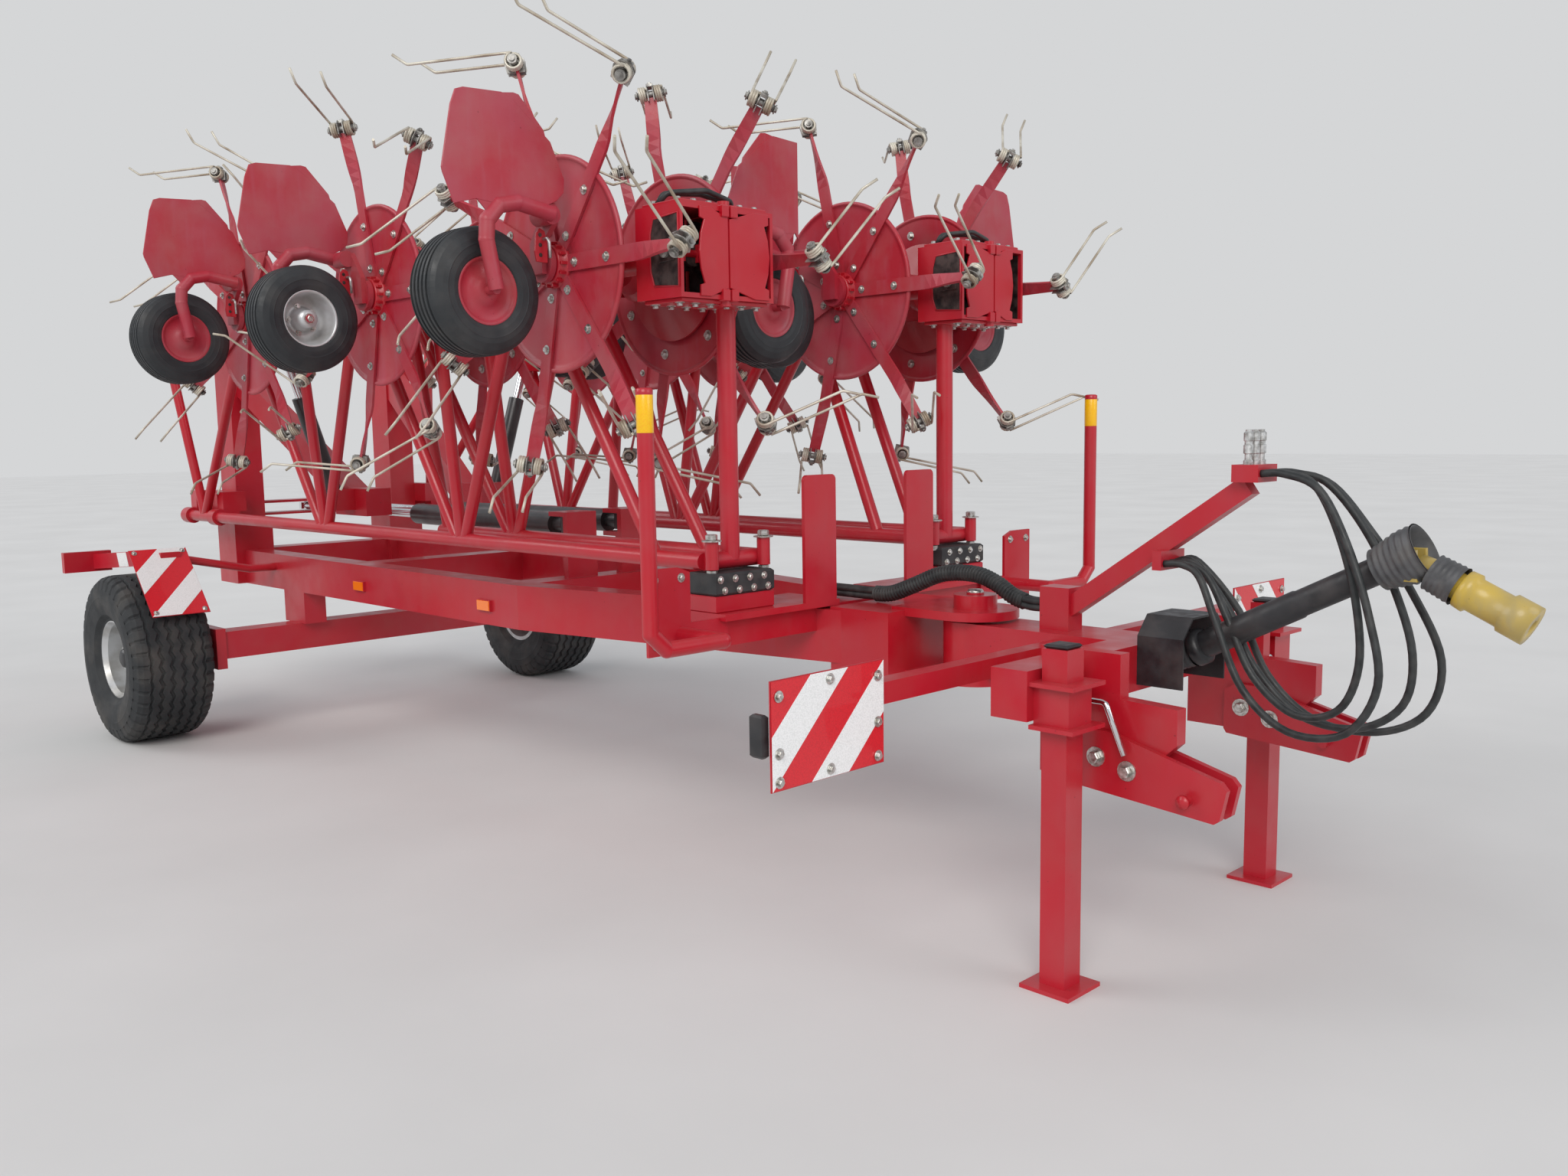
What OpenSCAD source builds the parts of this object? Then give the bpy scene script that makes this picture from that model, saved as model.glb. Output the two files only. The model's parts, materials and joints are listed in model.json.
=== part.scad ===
// Trailed rotary hay tedder with ten rotors, folded for the road and parked on its stands.
// X points forwards to the hitch, Y to the left and Z up. The ground is z = 0.
// Lengths are in millimetres. Inside the modules x = 0 is the transport axle.

/* [Transport wheels] */
// Distance between the centre planes of the two tyres
track = 2440; // [2380:10:2560]
// Outer diameter of a transport tyre
tyre_d = 870; // [850:5:900]
// Width of a transport tyre
tyre_w = 400; // [360:5:420]
// Diameter of the rim's seat
rim_d = 400; // [380:5:420]
// Number of tread lugs on each shoulder of a transport tyre
tyre_lugs = 36; // [24:2:44]

/* [Chassis] */
// Height of a main beam
beam_h = 190; // [160:5:210]
// Width of a main beam
beam_w = 120; // [100:5:140]
// Height of the main beams' top face
beam_top = 920; // [900:5:940]
// Distance from the centre plane to a main beam at the rear
beam_y = 480; // [440:5:520]
// Distance from the centre plane to a main beam at its front end
beam_front_y = 150; // [130:5:180]
// Place along X where the main beams bend inwards
beam_bend_x = 2450; // [2300:10:2600]
// Place along X of the main beams' front ends
beam_front_x = 4200; // [4150:10:4250]
// Side of the square axle beam
axle_beam = 140; // [120:5:160]

/* [Wing towers] */
// Place along X of the vertical swing pins
tower_x = -450; // [-480:5:-430]
// Distance from the centre plane to a swing pin
tower_y = 480; // [470:5:500]
// Height of the tower's top
tower_top = 1980; // [1900:10:2050]
// Diameter of the swing pin
swing_pin_d = 90; // [70:2:100]

/* [Wing frames] */
// Diameter of the rails and of the cross tubes
rail_d = 60; // [50:1:70]
// Diameter of the slanted legs
leg_d = 50; // [40:1:56]
// Height of the rails' centre lines
rail_z = 1120; // [1110:2:1135]
// Distance from the centre plane to an outer rail, the tilt axis
rail_out_y = 710; // [700:2:720]
// Distance from the centre plane to an inner rail
rail_in_y = 470; // [460:2:480]
// Place along X of the outer rail's rear end
rail_rear_x = -700; // [-720:5:-690]
// Place along X of the front cross tube
rail_front_x = 3850; // [3830:5:3870]
// Diameter of the drive line tubes
line_d = 90; // [76:2:100]

/* [Rotors] */
// Distance between neighbouring rotors in a row
rotor_pitch = 1250; // [1230:5:1260]
// Place along X of each row's front rotor
front_rotor_x = 3430; // [3400:5:3440]
// Height of the rotors' centres
rotor_z = 2120; // [2100:5:2140]
// Distance from the centre plane to the outer rows' discs
disc_out_y = 970; // [960:2:980]
// Distance from the centre plane to the inner rows' discs
disc_in_y = 450; // [445:1:456]
// Radius of a rotor disc with its rolled rim
disc_r = 360; // [340:5:380]
// Number of tine arms on each rotor
arms = 7; // [5:1:7]
// Distance from a rotor's axis to its tine coils
arm_r = 690; // [660:5:700]
// Width of a tine arm's flat bar
arm_w = 55; // [40:1:60]
// Thickness of a tine arm's flat bar
arm_t = 10; // [8:1:12]
// Diameter of the tine wire
wire_d = 10; // [8:0.5:12]
// Outer diameter of a tine's coil
coil_d = 62; // [54:1:68]
// How far a tine's long prong reaches below the disc
tine_reach = 435; // [380:5:440]
// How far a tine's short prong reaches below the disc
short_reach = 365; // [320:5:370]
// Angle by which the tines lean, and the arms' ends twist, against the turning direction
tine_lean = 45; // [35:5:50]

/* [Rotor wheels] */
// Outer diameter of a rotor's wheel
small_d = 410; // [390:2:416]
// Width of a rotor's wheel
small_w = 165; // [150:1:170]
// Diameter of its rim
small_rim_d = 212; // [200:2:220]
// Diameter of its axle
small_axle_d = 30; // [24:1:36]
// Distance from the disc down to the wheel's axle
small_reach = 320; // [312:1:324]
// How far the wheel's axle lies below the rotor's axis
small_drop = 110; // [80:5:130]
// How far the inner rows' wheels are set along X so that they pass each other
small_stagger = 110; // [105:1:120]
// Diameter of the bent tube that carries the wheel
neck_d = 50; // [40:1:54]

/* [Front rests] */
// Place along X of the guard posts
post_x = 4150; // [4140:5:4200]
// Distance from the centre plane to a guard post
post_y = 1190; // [1170:5:1230]
// Height of a guard post
post_top = 1680; // [1600:10:1740]
// Diameter of a guard post's tube
post_d = 50; // [42:1:60]

/* [Headstock] */
// Place along X of the vertical steering pin
hinge_x = 4450; // [4440:5:4470]
// Place along X of the cross beam
head_x = 5090; // [5070:5:5110]
// Distance from the centre plane to a link arm
link_y = 435; // [430:1:440]
// Place along X of the lower hitch pins
link_pin_x = 5510; // [5480:5:5530]
// Height of the lower hitch pins
link_pin_z = 565; // [550:5:590]
// Diameter of the lower hitch pins
link_pin_d = 28; // [25:1:36]
// Side of the square stand tubes
stand_w = 80; // [70:1:90]
// Distance from the centre plane to a stand
stand_y = 613; // [600:1:630]
// Length of a stand with its foot
stand_len = 960; // [930:5:980]

/* [Hidden] */
$fn = 48;

// The model stands with x = 0 midway between its rear lamps and the drive shaft's front end.
x_mid = 2752.3;
// Running clearance round a shaft in its bore
fit = 0.1;
// Gap between pieces that move past each other
gap = 6;
// Reach of the rotor rows' drive lines behind the discs
line_reach = 150;
line_out_y = disc_out_y - line_reach;
line_in_y = disc_in_y + line_reach;
axle_z = 490;
// Top of the beam under the front rests, and its front face
rest_z = 930;
rest_face_x = 3940;
// Width between a link arm's plates, for a category II ball
ball_w = 46;
// Radius of the fixed spindle inside each rotor's hub
spindle_r = 40;
hub_r = 78;
plate_t = 5;
rim_bead_r = 9;
housing_half = 130;
housing_r = 100;
// Hydraulic cylinders: the barrel's eye, the rod's eye on the moving piece, and the barrel's length
swing_eye = [2300, -150, 1148];
swing_lug = [-510, -80, 1148];
swing_barrel_len = 1400;
swing_rod_d = 46;
tilt_eye = [713, -480, 1240];
tilt_lug = [713, -700, 1950];
tilt_barrel_len = 540;
tilt_rod_d = 44;
eye_pin_r = 20;
// Drive shaft: rear end, joint, front end, and the bore for a 1 3/8 inch shaft
pto_rear = [head_x + 60, 0, 865];
pto_joint = [5870, 0, 1195];
pto_end = [6180, 0, 1040];
pto_dir = (pto_end - pto_joint) / norm(pto_end - pto_joint);
pto_bore_d = 35;
pto_bore_len = 100;
cover_r = disc_r * 0.65;
red = [0.72, 0.04, 0.07];
dark_red = [0.5, 0.03, 0.06];
steel = [0.7, 0.7, 0.68];
black = [0.07, 0.07, 0.08];

// Rotors of one wing: row (0 outer, 1 inner), steps back from the front rotor, side of the neck.
ROTORS = [[0, 0, 1], [0, 1, -1], [0, 2, 1], [1, 0, 1], [1, 1, 1]];
function row_sign(i) = ROTORS[i][0] == 0 ? -1 : 1;
function rotor_x(i) = front_rotor_x - ROTORS[i][1] * rotor_pitch;
function disc_y(i) = ROTORS[i][0] == 0 ? disc_out_y : disc_in_y;
function line_y(i) = ROTORS[i][0] == 0 ? line_out_y : line_in_y;
// Side along X on which a rotor wheel's bent tube stands
function neck_side(i, stagger) = ROTORS[i][2] * (stagger == 0 ? 1 : sign(stagger));

module placed() { translate([-x_mid, 0, 0]) children(); }
module sided(side) { mirror([0, side < 0 ? 0 : 1, 0]) children(); }

// A round bar from point a to point b.
module bar(a, b, d) {
    v = b - a;
    len = norm(v);
    translate(a) rotate([0, acos(v[2] / len), atan2(v[1], v[0])]) cylinder(d = d, h = len);
}

// A round bar through a row of points, with round corners.
module bent_bar(points, d) {
    for (i = [0 : len(points) - 2]) bar(points[i], points[i + 1], d);
    for (i = [1 : 1 : len(points) - 2]) translate(points[i]) sphere(d = d + 1, $fn = 24);
}

// A tine's wire from point a to point b, with eight sides.
module wire(a, b) {
    v = b - a;
    len = norm(v);
    translate(a) rotate([0, acos(v[2] / len), atan2(v[1], v[0])]) cylinder(d = wire_d, h = len, $fn = 8);
}

// A box beam from point a to point b, both at one height in a vertical plane through X.
module box_beam(a, b, w, h) {
    v = b - a;
    len = norm(v);
    translate(a) rotate([0, -asin(v[2] / len), atan2(v[1], v[0])])
        translate([0, -w / 2, -h / 2]) cube([len, w, h]);
}

module slab(from, to) {
    translate(from) cube(to - from);
}

// Turns a rotor's own frame, disc flat and underside down, into its place on the right wing.
module at_rotor(i) {
    translate([rotor_x(i), -disc_y(i), rotor_z]) rotate([row_sign(i) * 90, 0, 0]) children();
}

// Transport wheels

module tyre_shape() {
    r = tyre_d / 2;
    rs = rim_d / 2;
    w = tyre_w / 2;
    rotate_extrude($fn = 72) polygon([
        [rs, -w + 40], [rs + 40, -w + 12], [r - 110, -w], [r - 60, -w + 6], [r - 12, -w + 40],
        [r - 12, w - 40], [r - 60, w - 6], [r - 110, w], [rs + 40, w - 12], [rs, w - 40]
    ]);
    for (side = [-1, 1], i = [0 : tyre_lugs - 1])
        rotate([0, 0, (i + (side > 0 ? 0.5 : 0)) * 360 / tyre_lugs])
            translate([r - 56, -16, side > 0 ? w - 62 : -w + 18])
                cube([56, 32, 44]);
}

module tyre(side) {
    color(black) translate([0, side * track / 2, tyre_d / 2]) rotate([90, 0, 0]) tyre_shape();
}

module rim(side) {
    r = rim_d / 2;
    w = tyre_w / 2 - 40;
    color(steel) translate([0, side * track / 2, tyre_d / 2]) rotate([-90 * side, 0, 0]) {
        difference() {
            rotate_extrude($fn = 72) polygon([
                [45, 30], [110, 30], [130, 6], [r - 22, -10], [r - 22, -w], [r, -w],
                [r, -w + 20], [r - 12, -w + 32], [r - 12, w - 32], [r, w - 20], [r, w], [r - 6, w],
                [r - 22, w - 24], [r - 22, 0], [130, 18], [110, 42], [45, 42]
            ]);
            for (i = [0 : 5]) rotate([0, 0, i * 60]) translate([102, 0, 20]) cylinder(r = 10, h = 40);
        }
        difference() {
            cylinder(r = 62, h = 110);
            translate([0, 0, -1]) cylinder(r = 35 + fit, h = 80);
        }
    }
}

// Chassis

module tower_seat() {
    slab([tower_x - 120, -tower_y - 110, beam_top - beam_h], [tower_x + 120, -tower_y + 110, 1090]);
    translate([tower_x, -tower_y, 1000]) cylinder(d = swing_pin_d, h = 260);
}

module main_beam() {
    h = beam_w / 2;
    translate([0, 0, beam_top - beam_h]) linear_extrude(beam_h) polygon([
        [tower_x + 60, -beam_y - h], [beam_bend_x, -beam_y - h], [beam_front_x, -beam_front_y - h],
        [beam_front_x, -beam_front_y + h], [beam_bend_x, -beam_y + h], [tower_x + 60, -beam_y + h]
    ]);
}

module swing_foot() {
    // Two plates and the pin that hold the swing cylinder's eye, on an upright plate
    for (z = [1084, 1190]) slab([2252, -230, z], [2390, -70, z + 20]);
    slab([2360, -230, beam_top], [2390, -70, 1210]);
    slab([2252, -160, beam_top], [2360, -140, 1084]);
    translate([swing_eye[0], swing_eye[1], 1084]) cylinder(r = eye_pin_r, h = 120);
}

module main_frame() {
    color(red) {
        for (side = [-1, 1]) sided(side) {
            main_beam();
            tower_seat();
            swing_foot();
            // Bracket plate down to the axle beam
            slab([160, -beam_y - 60, axle_z + axle_beam / 2], [400, -beam_y + 60, beam_top - beam_h + 10]);
            // Cross beam under the front rest
            slab([3740, -735, 840], [rest_face_x, 0, rest_z]);
        }
        // Cross members
        for (x = [tower_x - 60, 900, 2300])
            slab([x, -beam_y, beam_top - 160], [x + 140, beam_y, beam_top]);
        // Front box and the two ears of the steering hinge
        slab([3990, -240, beam_top - beam_h - 30], [4260, 240, beam_top + 10]);
        for (z = [beam_top - 10, 690]) {
            difference() {
                union() {
                    slab([4200, -150, z], [hinge_x, 150, z + 30]);
                    translate([hinge_x, 0, z]) cylinder(r = 150, h = 30);
                    translate([hinge_x, 0, z]) cylinder(r = 75, h = z > axle_z * 1.6 ? 78 : 30);
                }
                translate([hinge_x, 0, z - 1]) cylinder(r = 30 + fit, h = 90);
            }
        }
    }
}

module rear_axle() {
    z = axle_z;
    y_end = track / 2 - tyre_w / 2 - 40;
    color(red) {
        slab([210, -y_end, z - axle_beam / 2], [210 + axle_beam, y_end, z + axle_beam / 2]);
        for (side = [-1, 1]) sided(side) {
            // Trailing arm from the beam's end back to the stub axle
            slab([-110, -y_end - 20, z - 120], [360, -y_end + 30, z + 90]);
            bar([0, -y_end, tyre_d / 2], [0, -track / 2 - 70, tyre_d / 2], 70);
            bar([0, -y_end - 18, tyre_d / 2], [0, -y_end - 38, tyre_d / 2], 150);
        }
    }
}

module rest_tray() {
    slab([3720, -735, rest_z], [3980, -180, rest_z + 22]);
    // Tall inner stop plate with round corners
    translate([3966, 0, 0]) rotate([90, 0, 90]) linear_extrude(14) {
        hull() {
            for (y = [-335, -215]) translate([y, 1380]) circle(r = 20);
            translate([-355, rest_z + 10]) square([160, 10]);
        }
    }
    // Outer plate with a slanted top edge
    translate([rest_face_x, 0, 0]) rotate([90, 0, 90])
        linear_extrude(12) polygon([[-1040, 845], [-700, 845], [-700, rest_z + 10], [-862, rest_z + 10],
                                    [-862, 1105], [-915, 1125], [-1040, 1125]]);
}

module wing_rests() {
    color(red) for (side = [-1, 1]) sided(side) rest_tray();
}

module rest_pads() {
    color(black) for (side = [-1, 1]) sided(side)
        slab([3790, -735, rest_z + 22], [3936, -465, rail_z - rail_d / 2 - gap]);
}

module guard_posts() {
    color(red) for (side = [-1, 1]) sided(side)
        bent_bar([[rest_face_x + 12, -900, 905], [post_x, -900, 905], [post_x, -post_y + 60, 905],
                  [post_x, -post_y, 960], [post_x, -post_y, post_top]], post_d);
}

// Striped boards over the rear wheels with their arms, lamps and side reflectors

module rear_marker() {
    z = tyre_d + 30;
    bent_bar([[60, -beam_y - beam_w / 2, 850], [60, -beam_y - 200, 850], [60, -1120, z + 50]], 42);
    box_beam([70, -1120, z + 50], [-580, -1254, z - 2], 40, 80);
    translate([-590, -1300, z]) cube([40, 240, 110], center = true);
    translate([270, -1180, z - 60]) rotate([0, 48, 0]) cube([423, 282, 4], center = true);
    slab([40, -1180, z + 30], [175, -1080, z + 80]);
    for (x = [1000, 2150]) slab([x, -beam_y - beam_w / 2 - 12, 790], [x + 100, -beam_y - beam_w / 2, 840]);
}

module rear_markers() {
    color(red) for (side = [-1, 1]) sided(side) rear_marker();
}

// Wings

module tower() {
    sleeves = [rail_rear_x + 20, tower_x + 150];
    difference() {
        union() {
            slab([tower_x - 100, -tower_y - 80, 1096], [tower_x + 100, -tower_y + 80, tower_top]);
            // Slanted arm and its foot
            box_beam([tower_x + 60, -tower_y + 10, tower_top - 90], [640, -330, 1230], 110, 130);
            slab([560, -410, 1150], [900, -270, 1290]);
            for (x = sleeves) {
                bar([x, -rail_out_y, rail_z], [x + 80, -rail_out_y, rail_z], rail_d + 30);
                slab([x, -rail_out_y + 20, rail_z - 24], [x + 80, -600, rail_z + 140]);
            }
            slab([rail_rear_x + 20, -640, rail_z + 30], [tower_x + 230, -tower_y - 80, rail_z + 140]);
            // Lug plates for the swing cylinder's rod eye
            for (z = [1106, 1176]) slab([tower_x - 110, -tower_y, z], [tower_x + 10, -40, z + 14]);
            // Lug plates for the tilt cylinder
            for (x = [640, 770]) slab([x, -530, 1180], [x + 16, -400, 1290]);
        }
        translate([tower_x, -tower_y, 1000]) cylinder(d = swing_pin_d + 2 * fit, h = 262);
        for (x = sleeves)
            bar([x - 20, -rail_out_y, rail_z], [x + 100, -rail_out_y, rail_z], rail_d + 2 * fit);
    }
    bar(tilt_eye - [73, 0, 0], tilt_eye + [73, 0, 0], 2 * eye_pin_r);
}

// Legs of the lattice between a rail and its drive line: x at the rail, x at the drive line.
OUTER_LEGS = [[-430, -560], [-430, 520], [1030, 560], [1060, 1110], [1090, 1700],
              [2280, 1790], [2310, 2370], [2340, 2960], [3600, 3070]];
INNER_LEGS = [[1800, 1760], [2310, 1790], [2340, 2370], [2370, 2960], [3600, 3070]];

// Lug plates for the tilt cylinder's rod eye, grown by a clearance where a leg is cut round them.
module lug_plates(clear) {
    for (x = [660, 750])
        slab([x - clear, -line_out_y - 10 - clear, 1915 - clear], [x + 16 + clear, -670 + clear, 2110]);
}

// The legs of one row, each cut to sit on its rail, on its drive line and against the leg before it.
module leg_row(legs, rail_y, line_y) {
    for (i = [0 : len(legs) - 1]) difference() {
        bar([legs[i][0], -rail_y, rail_z], [legs[i][1], -line_y, rotor_z], leg_d);
        bar([rail_rear_x - 100, -rail_y, rail_z], [rail_front_x, -rail_y, rail_z], rail_d + 2 * fit);
        bar([rail_rear_x - 100, -line_y, rotor_z], [rail_front_x, -line_y, rotor_z], line_d + 2 * fit);
        if (i > 0)
            bar([legs[i - 1][0], -rail_y, rail_z], [legs[i - 1][1], -line_y, rotor_z], leg_d + 2 * fit);
        lug_plates(fit);
    }
}

module wing_legs() {
    leg_row(OUTER_LEGS, rail_out_y, line_out_y);
    leg_row(INNER_LEGS, rail_in_y, line_in_y);
}

module wing_frame() {
    // Rails and front cross tube
    bar([rail_rear_x, -rail_out_y, rail_z], [rail_front_x, -rail_out_y, rail_z], rail_d);
    bar([1750, -rail_in_y, rail_z], [rail_front_x, -rail_in_y, rail_z], rail_d);
    bar([rail_front_x, -rail_out_y, rail_z], [rail_front_x, -rail_in_y, rail_z], rail_d);
    // Drive line tubes between the gear housings
    outer = [rotor_x(2) - housing_half, rotor_x(2) + housing_half, rotor_x(1) - housing_half,
             rotor_x(1) + housing_half, rotor_x(0) - housing_half, rotor_x(0) + housing_half];
    bar([-600, -line_out_y, rotor_z], [outer[0], -line_out_y, rotor_z], line_d);
    bar([outer[1], -line_out_y, rotor_z], [outer[2], -line_out_y, rotor_z], line_d);
    bar([outer[3], -line_out_y, rotor_z], [outer[4], -line_out_y, rotor_z], line_d);
    bar([outer[5], -line_out_y, rotor_z], [3860, -line_out_y, rotor_z], line_d);
    bar([outer[3], -line_in_y, rotor_z], [outer[4], -line_in_y, rotor_z], line_d);
    bar([outer[5], -line_in_y, rotor_z], [3860, -line_in_y, rotor_z], line_d);
    bar([1700, -line_in_y, rotor_z], [outer[2], -line_in_y, rotor_z], line_d);
    // Thick upright and its fin under the fold hinge
    bar([rail_front_x, -(rail_out_y + rail_in_y) / 2, rail_z],
        [rail_front_x, -(rail_out_y + rail_in_y) / 2, rotor_z - 120], rail_d + 6);
    // Open boxes on both sides of the fold hinge, with the hinge's knuckles and pin
    mid = (line_out_y + line_in_y) / 2;
    box_half = 145;
    for (side = [-1, 1]) {
        y0 = -mid + side * 4;
        y1 = -mid + side * 200;
        low = min(y0, y1);
        high = max(y0, y1);
        slab([3780, low, rotor_z - box_half], [4000, high, rotor_z - box_half + 15]);
        slab([3780, low, rotor_z + box_half - 15], [4000, high, rotor_z + box_half]);
        slab([3780, low, rotor_z - box_half], [3795, high, rotor_z + box_half]);
        slab([3780, side > 0 ? high - 12 : low, rotor_z - box_half],
             [4000, side > 0 ? high : low + 12, rotor_z + box_half]);
    }
    bar([3980, -mid, rotor_z - 165], [3980, -mid, rotor_z + 165], 40);
    // Joint yokes of the two drive lines inside the boxes
    for (y = [line_out_y, line_in_y]) {
        bar([3860, -y, rotor_z], [3884, -y, rotor_z], 96);
        for (s = [-1, 1]) slab([3884, -y + s * 34 - 7, rotor_z - 28], [3950, -y + s * 34 + 7, rotor_z + 28]);
        bar([3930, -y - 48, rotor_z], [3930, -y + 48, rotor_z], 26);
    }
    lug_plates(0);
    // Knuckles on the front cross tube
    for (y = [rail_out_y, rail_in_y])
        bar([rail_front_x + 40, -y, rail_z - 25], [rail_front_x + 40, -y, rail_z + 70], 46);
}

// One gear housing in the rotor's own frame, above the disc.
module gear_housing() {
    rotate_extrude() polygon([
        [0, plate_t + 6], [cover_r, plate_t + 6], [cover_r, plate_t + 16], [housing_r, 62],
        [housing_r, line_reach + 40], [housing_r - 20, line_reach + 60], [0, line_reach + 60]
    ]);
    translate([0, 0, line_reach]) rotate([0, 90, 0]) cylinder(r = 62, h = 2 * housing_half, center = true);
    for (x = [-housing_half, housing_half - 14])
        translate([x, 0, line_reach]) rotate([0, 90, 0]) cylinder(r = 76, h = 14);
}

module gear_housings() {
    for (i = [0 : 4]) at_rotor(i) gear_housing();
}

// Place of the boss on the lever: how far up and how far out from the disc
boss_up = 143;
boss_out = 100;
// Lever's outline: towards the wheel's side, up
LEVER = [[-34, -36], [34, -36], [34, 60], [96, boss_up - 30], [96, boss_up + 26], [46, boss_up + 26],
         [-34, 64]];
// Bends of the tube and outline of the crop plate: out from the disc, up
NECK = [[boss_out, boss_up], [230, 165], [300, 150], [345, 100], [350, 40]];
DEFLECTOR = [[75, 215], [90, 185], [160, 150], [230, 165], [300, 150], [350, 130], [385, 165], [400, 250],
             [372, 455], [350, 482], [235, 500], [215, 497], [125, 400]];

// Spindle, lever, bent tube and crop plate that carry one rotor's wheel, in the rotor's own frame.
// down is the side on which the ground lies in the rotor's frame.
module wheel_arm(i, stagger) {
    down = row_sign(i) * -1;
    front = neck_side(i, stagger);
    x_neck = stagger + front * (small_w / 2 + 16 + neck_d / 2);
    axle = [x_neck, down * small_drop, -small_reach];
    boss = [40 * front, -down * boss_up, -boss_out];
    translate([0, 0, -50]) cylinder(r = spindle_r - fit, h = 50 + plate_t + 6);
    translate([0, 0, -66]) cylinder(r = 62, h = 20);
    // Lever from the spindle up to the boss of the bent tube
    translate([0, 0, -84]) linear_extrude(20)
        polygon([for (q = LEVER) [q[0] * front, -down * q[1]]]);
    bar(boss, [x_neck, boss[1], boss[2]], neck_d + 14);
    bent_bar(concat([for (q = NECK) [x_neck, -down * q[1], -q[0]]], [axle]), neck_d);
    bar(axle, [stagger - front * 70, axle[1], axle[2]], small_axle_d);
    // Plate that keeps the crop off the wheel
    translate([x_neck, 0, 0]) rotate([0, 90, 0])
        linear_extrude(plate_t) polygon([for (q = DEFLECTOR) [q[0], -down * q[1]]]);
}

// Rotor wheels

// A flat cover closes the side with the bent tube, and the other side shows the dished rim.
module small_wheel_shape() {
    r = small_d / 2;
    w = small_w / 2;
    rim_r = small_rim_d / 2;
    axle_r = small_axle_d / 2;
    difference() {
        rotate_extrude() polygon([
            [axle_r, -60], [34, -60], [34, 8], [50, 12], [rim_r - 22, -4], [rim_r - 8, -w + 20],
            [rim_r, -w + 10], [r - 60, -w], [r - 18, -w + 10], [r, -w + 40], [r, w - 40], [r - 18, w - 10],
            [r - 60, w], [rim_r, w - 8], [rim_r - 14, w - 14], [46, w - 14], [40, w - 4], [axle_r, w - 4]
        ]);
        translate([0, 0, -w]) cylinder(r = axle_r + fit, h = 2 * w);
    }
}

function stagger_of(i, side) = ROTORS[i][0] == 0 ? 0 : -side * small_stagger;

module small_wheel(i, side) {
    stagger = stagger_of(i, side);
    color(black) sided(side)
        translate([rotor_x(i) + stagger, -disc_y(i) + row_sign(i) * small_reach, rotor_z - small_drop])
            rotate([0, 90 * neck_side(i, stagger), 0]) small_wheel_shape();
}

// Rotors, in their own frame: disc flat, tines down

module tine() {
    half = 34;
    r = coil_d / 2;
    for (s = [-1, 1]) {
        reach = s > 0 ? tine_reach : short_reach;
        bow = 20;
        hook = 60;
        start = [r - wire_d / 2, s * (half + 8), 10];
        knee = [start[0] + bow, s * (half + 12), 34 - reach + hook];
        tip = [start[0] + 2 * bow, s * (half + 12), 34 - reach];
        wire(start, knee);
        wire(knee, tip);
    }
    rotate([90, 0, 0]) rotate_extrude($fn = 24) polygon([
        [0, -half - 20], [r, -half - 20], [r, -half + 20], [r - wire_d, -half + 20],
        [r - wire_d, half - 20], [r, half - 20], [r, half + 20], [0, half + 20]
    ]);
}

// Bend of the arms' ends and drop of the coils below the disc, which keep the coils off the frame's legs
arm_bend = 6;
tine_drop = 33;

module rotor_shape() {
    difference() {
        union() {
            rotate_extrude($fn = 72) polygon([
                [spindle_r, 0], [disc_r - rim_bead_r, 0], [disc_r - rim_bead_r, plate_t], [spindle_r, plate_t]
            ]);
            rotate_extrude($fn = 72)
                translate([disc_r - rim_bead_r, plate_t / 2]) circle(r = rim_bead_r, $fn = 24);
            translate([0, 0, -40]) cylinder(r = hub_r, h = 40 + plate_t);
            for (i = [0 : arms - 1]) rotate([0, 0, i * 360 / arms]) {
                translate([hub_r - 20, -arm_w / 2, -arm_t]) cube([500 - hub_r, arm_w, arm_t]);
                translate([465, 0, -arm_t / 2]) rotate([-tine_lean, arm_bend, 0])
                    translate([0, -arm_w / 2, -arm_t / 2]) cube([arm_r - 465, arm_w, arm_t]);
                translate([arm_r, 0, -tine_drop]) rotate([-tine_lean, 0, 0]) {
                    tine();
                    translate([-36, -13, -38]) cube([72, 26, 76]);
                }
            }
        }
        translate([0, 0, -60]) cylinder(r = spindle_r, h = 80);
    }
}

// Neighbouring rotors turn against each other, so their shapes mirror each other.
module rotor(i, side) {
    color(red) sided(side) at_rotor(i) mirror([0, (ROTORS[i][0] + ROTORS[i][1]) % 2, 0]) rotor_shape();
}

// Cylinders

module swing_barrel() {
    v = swing_lug - swing_eye;
    u = v / norm(v);
    difference() {
        union() {
            bar(swing_eye + 100 * u, swing_eye + swing_barrel_len * u, 105);
            translate(swing_eye) cylinder(r = 40, h = 72, center = true);
            bar(swing_eye, swing_eye + 110 * u, 60);
        }
        bar(swing_eye + 110 * u, swing_eye + (swing_barrel_len + 10) * u, swing_rod_d + 2 * fit);
        translate(swing_eye) cylinder(r = eye_pin_r + fit, h = 90, center = true);
    }
}

module swing_rod() {
    v = swing_lug - swing_eye;
    u = v / norm(v);
    bar(swing_eye + (swing_barrel_len - 830) * u, swing_lug, swing_rod_d);
    translate(swing_lug) cylinder(r = 38, h = 38, center = true);
}

module tilt_barrel() {
    v = tilt_lug - tilt_eye;
    u = v / norm(v);
    difference() {
        union() {
            bar(tilt_eye + 30 * u, tilt_eye + tilt_barrel_len * u, 84);
            bar(tilt_eye - [50, 0, 0], tilt_eye + [50, 0, 0], 70);
        }
        bar(tilt_eye + 110 * u, tilt_eye + (tilt_barrel_len + 10) * u, tilt_rod_d + 2 * fit);
        bar(tilt_eye - [60, 0, 0], tilt_eye + [60, 0, 0], 2 * (eye_pin_r + fit));
    }
}

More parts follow.
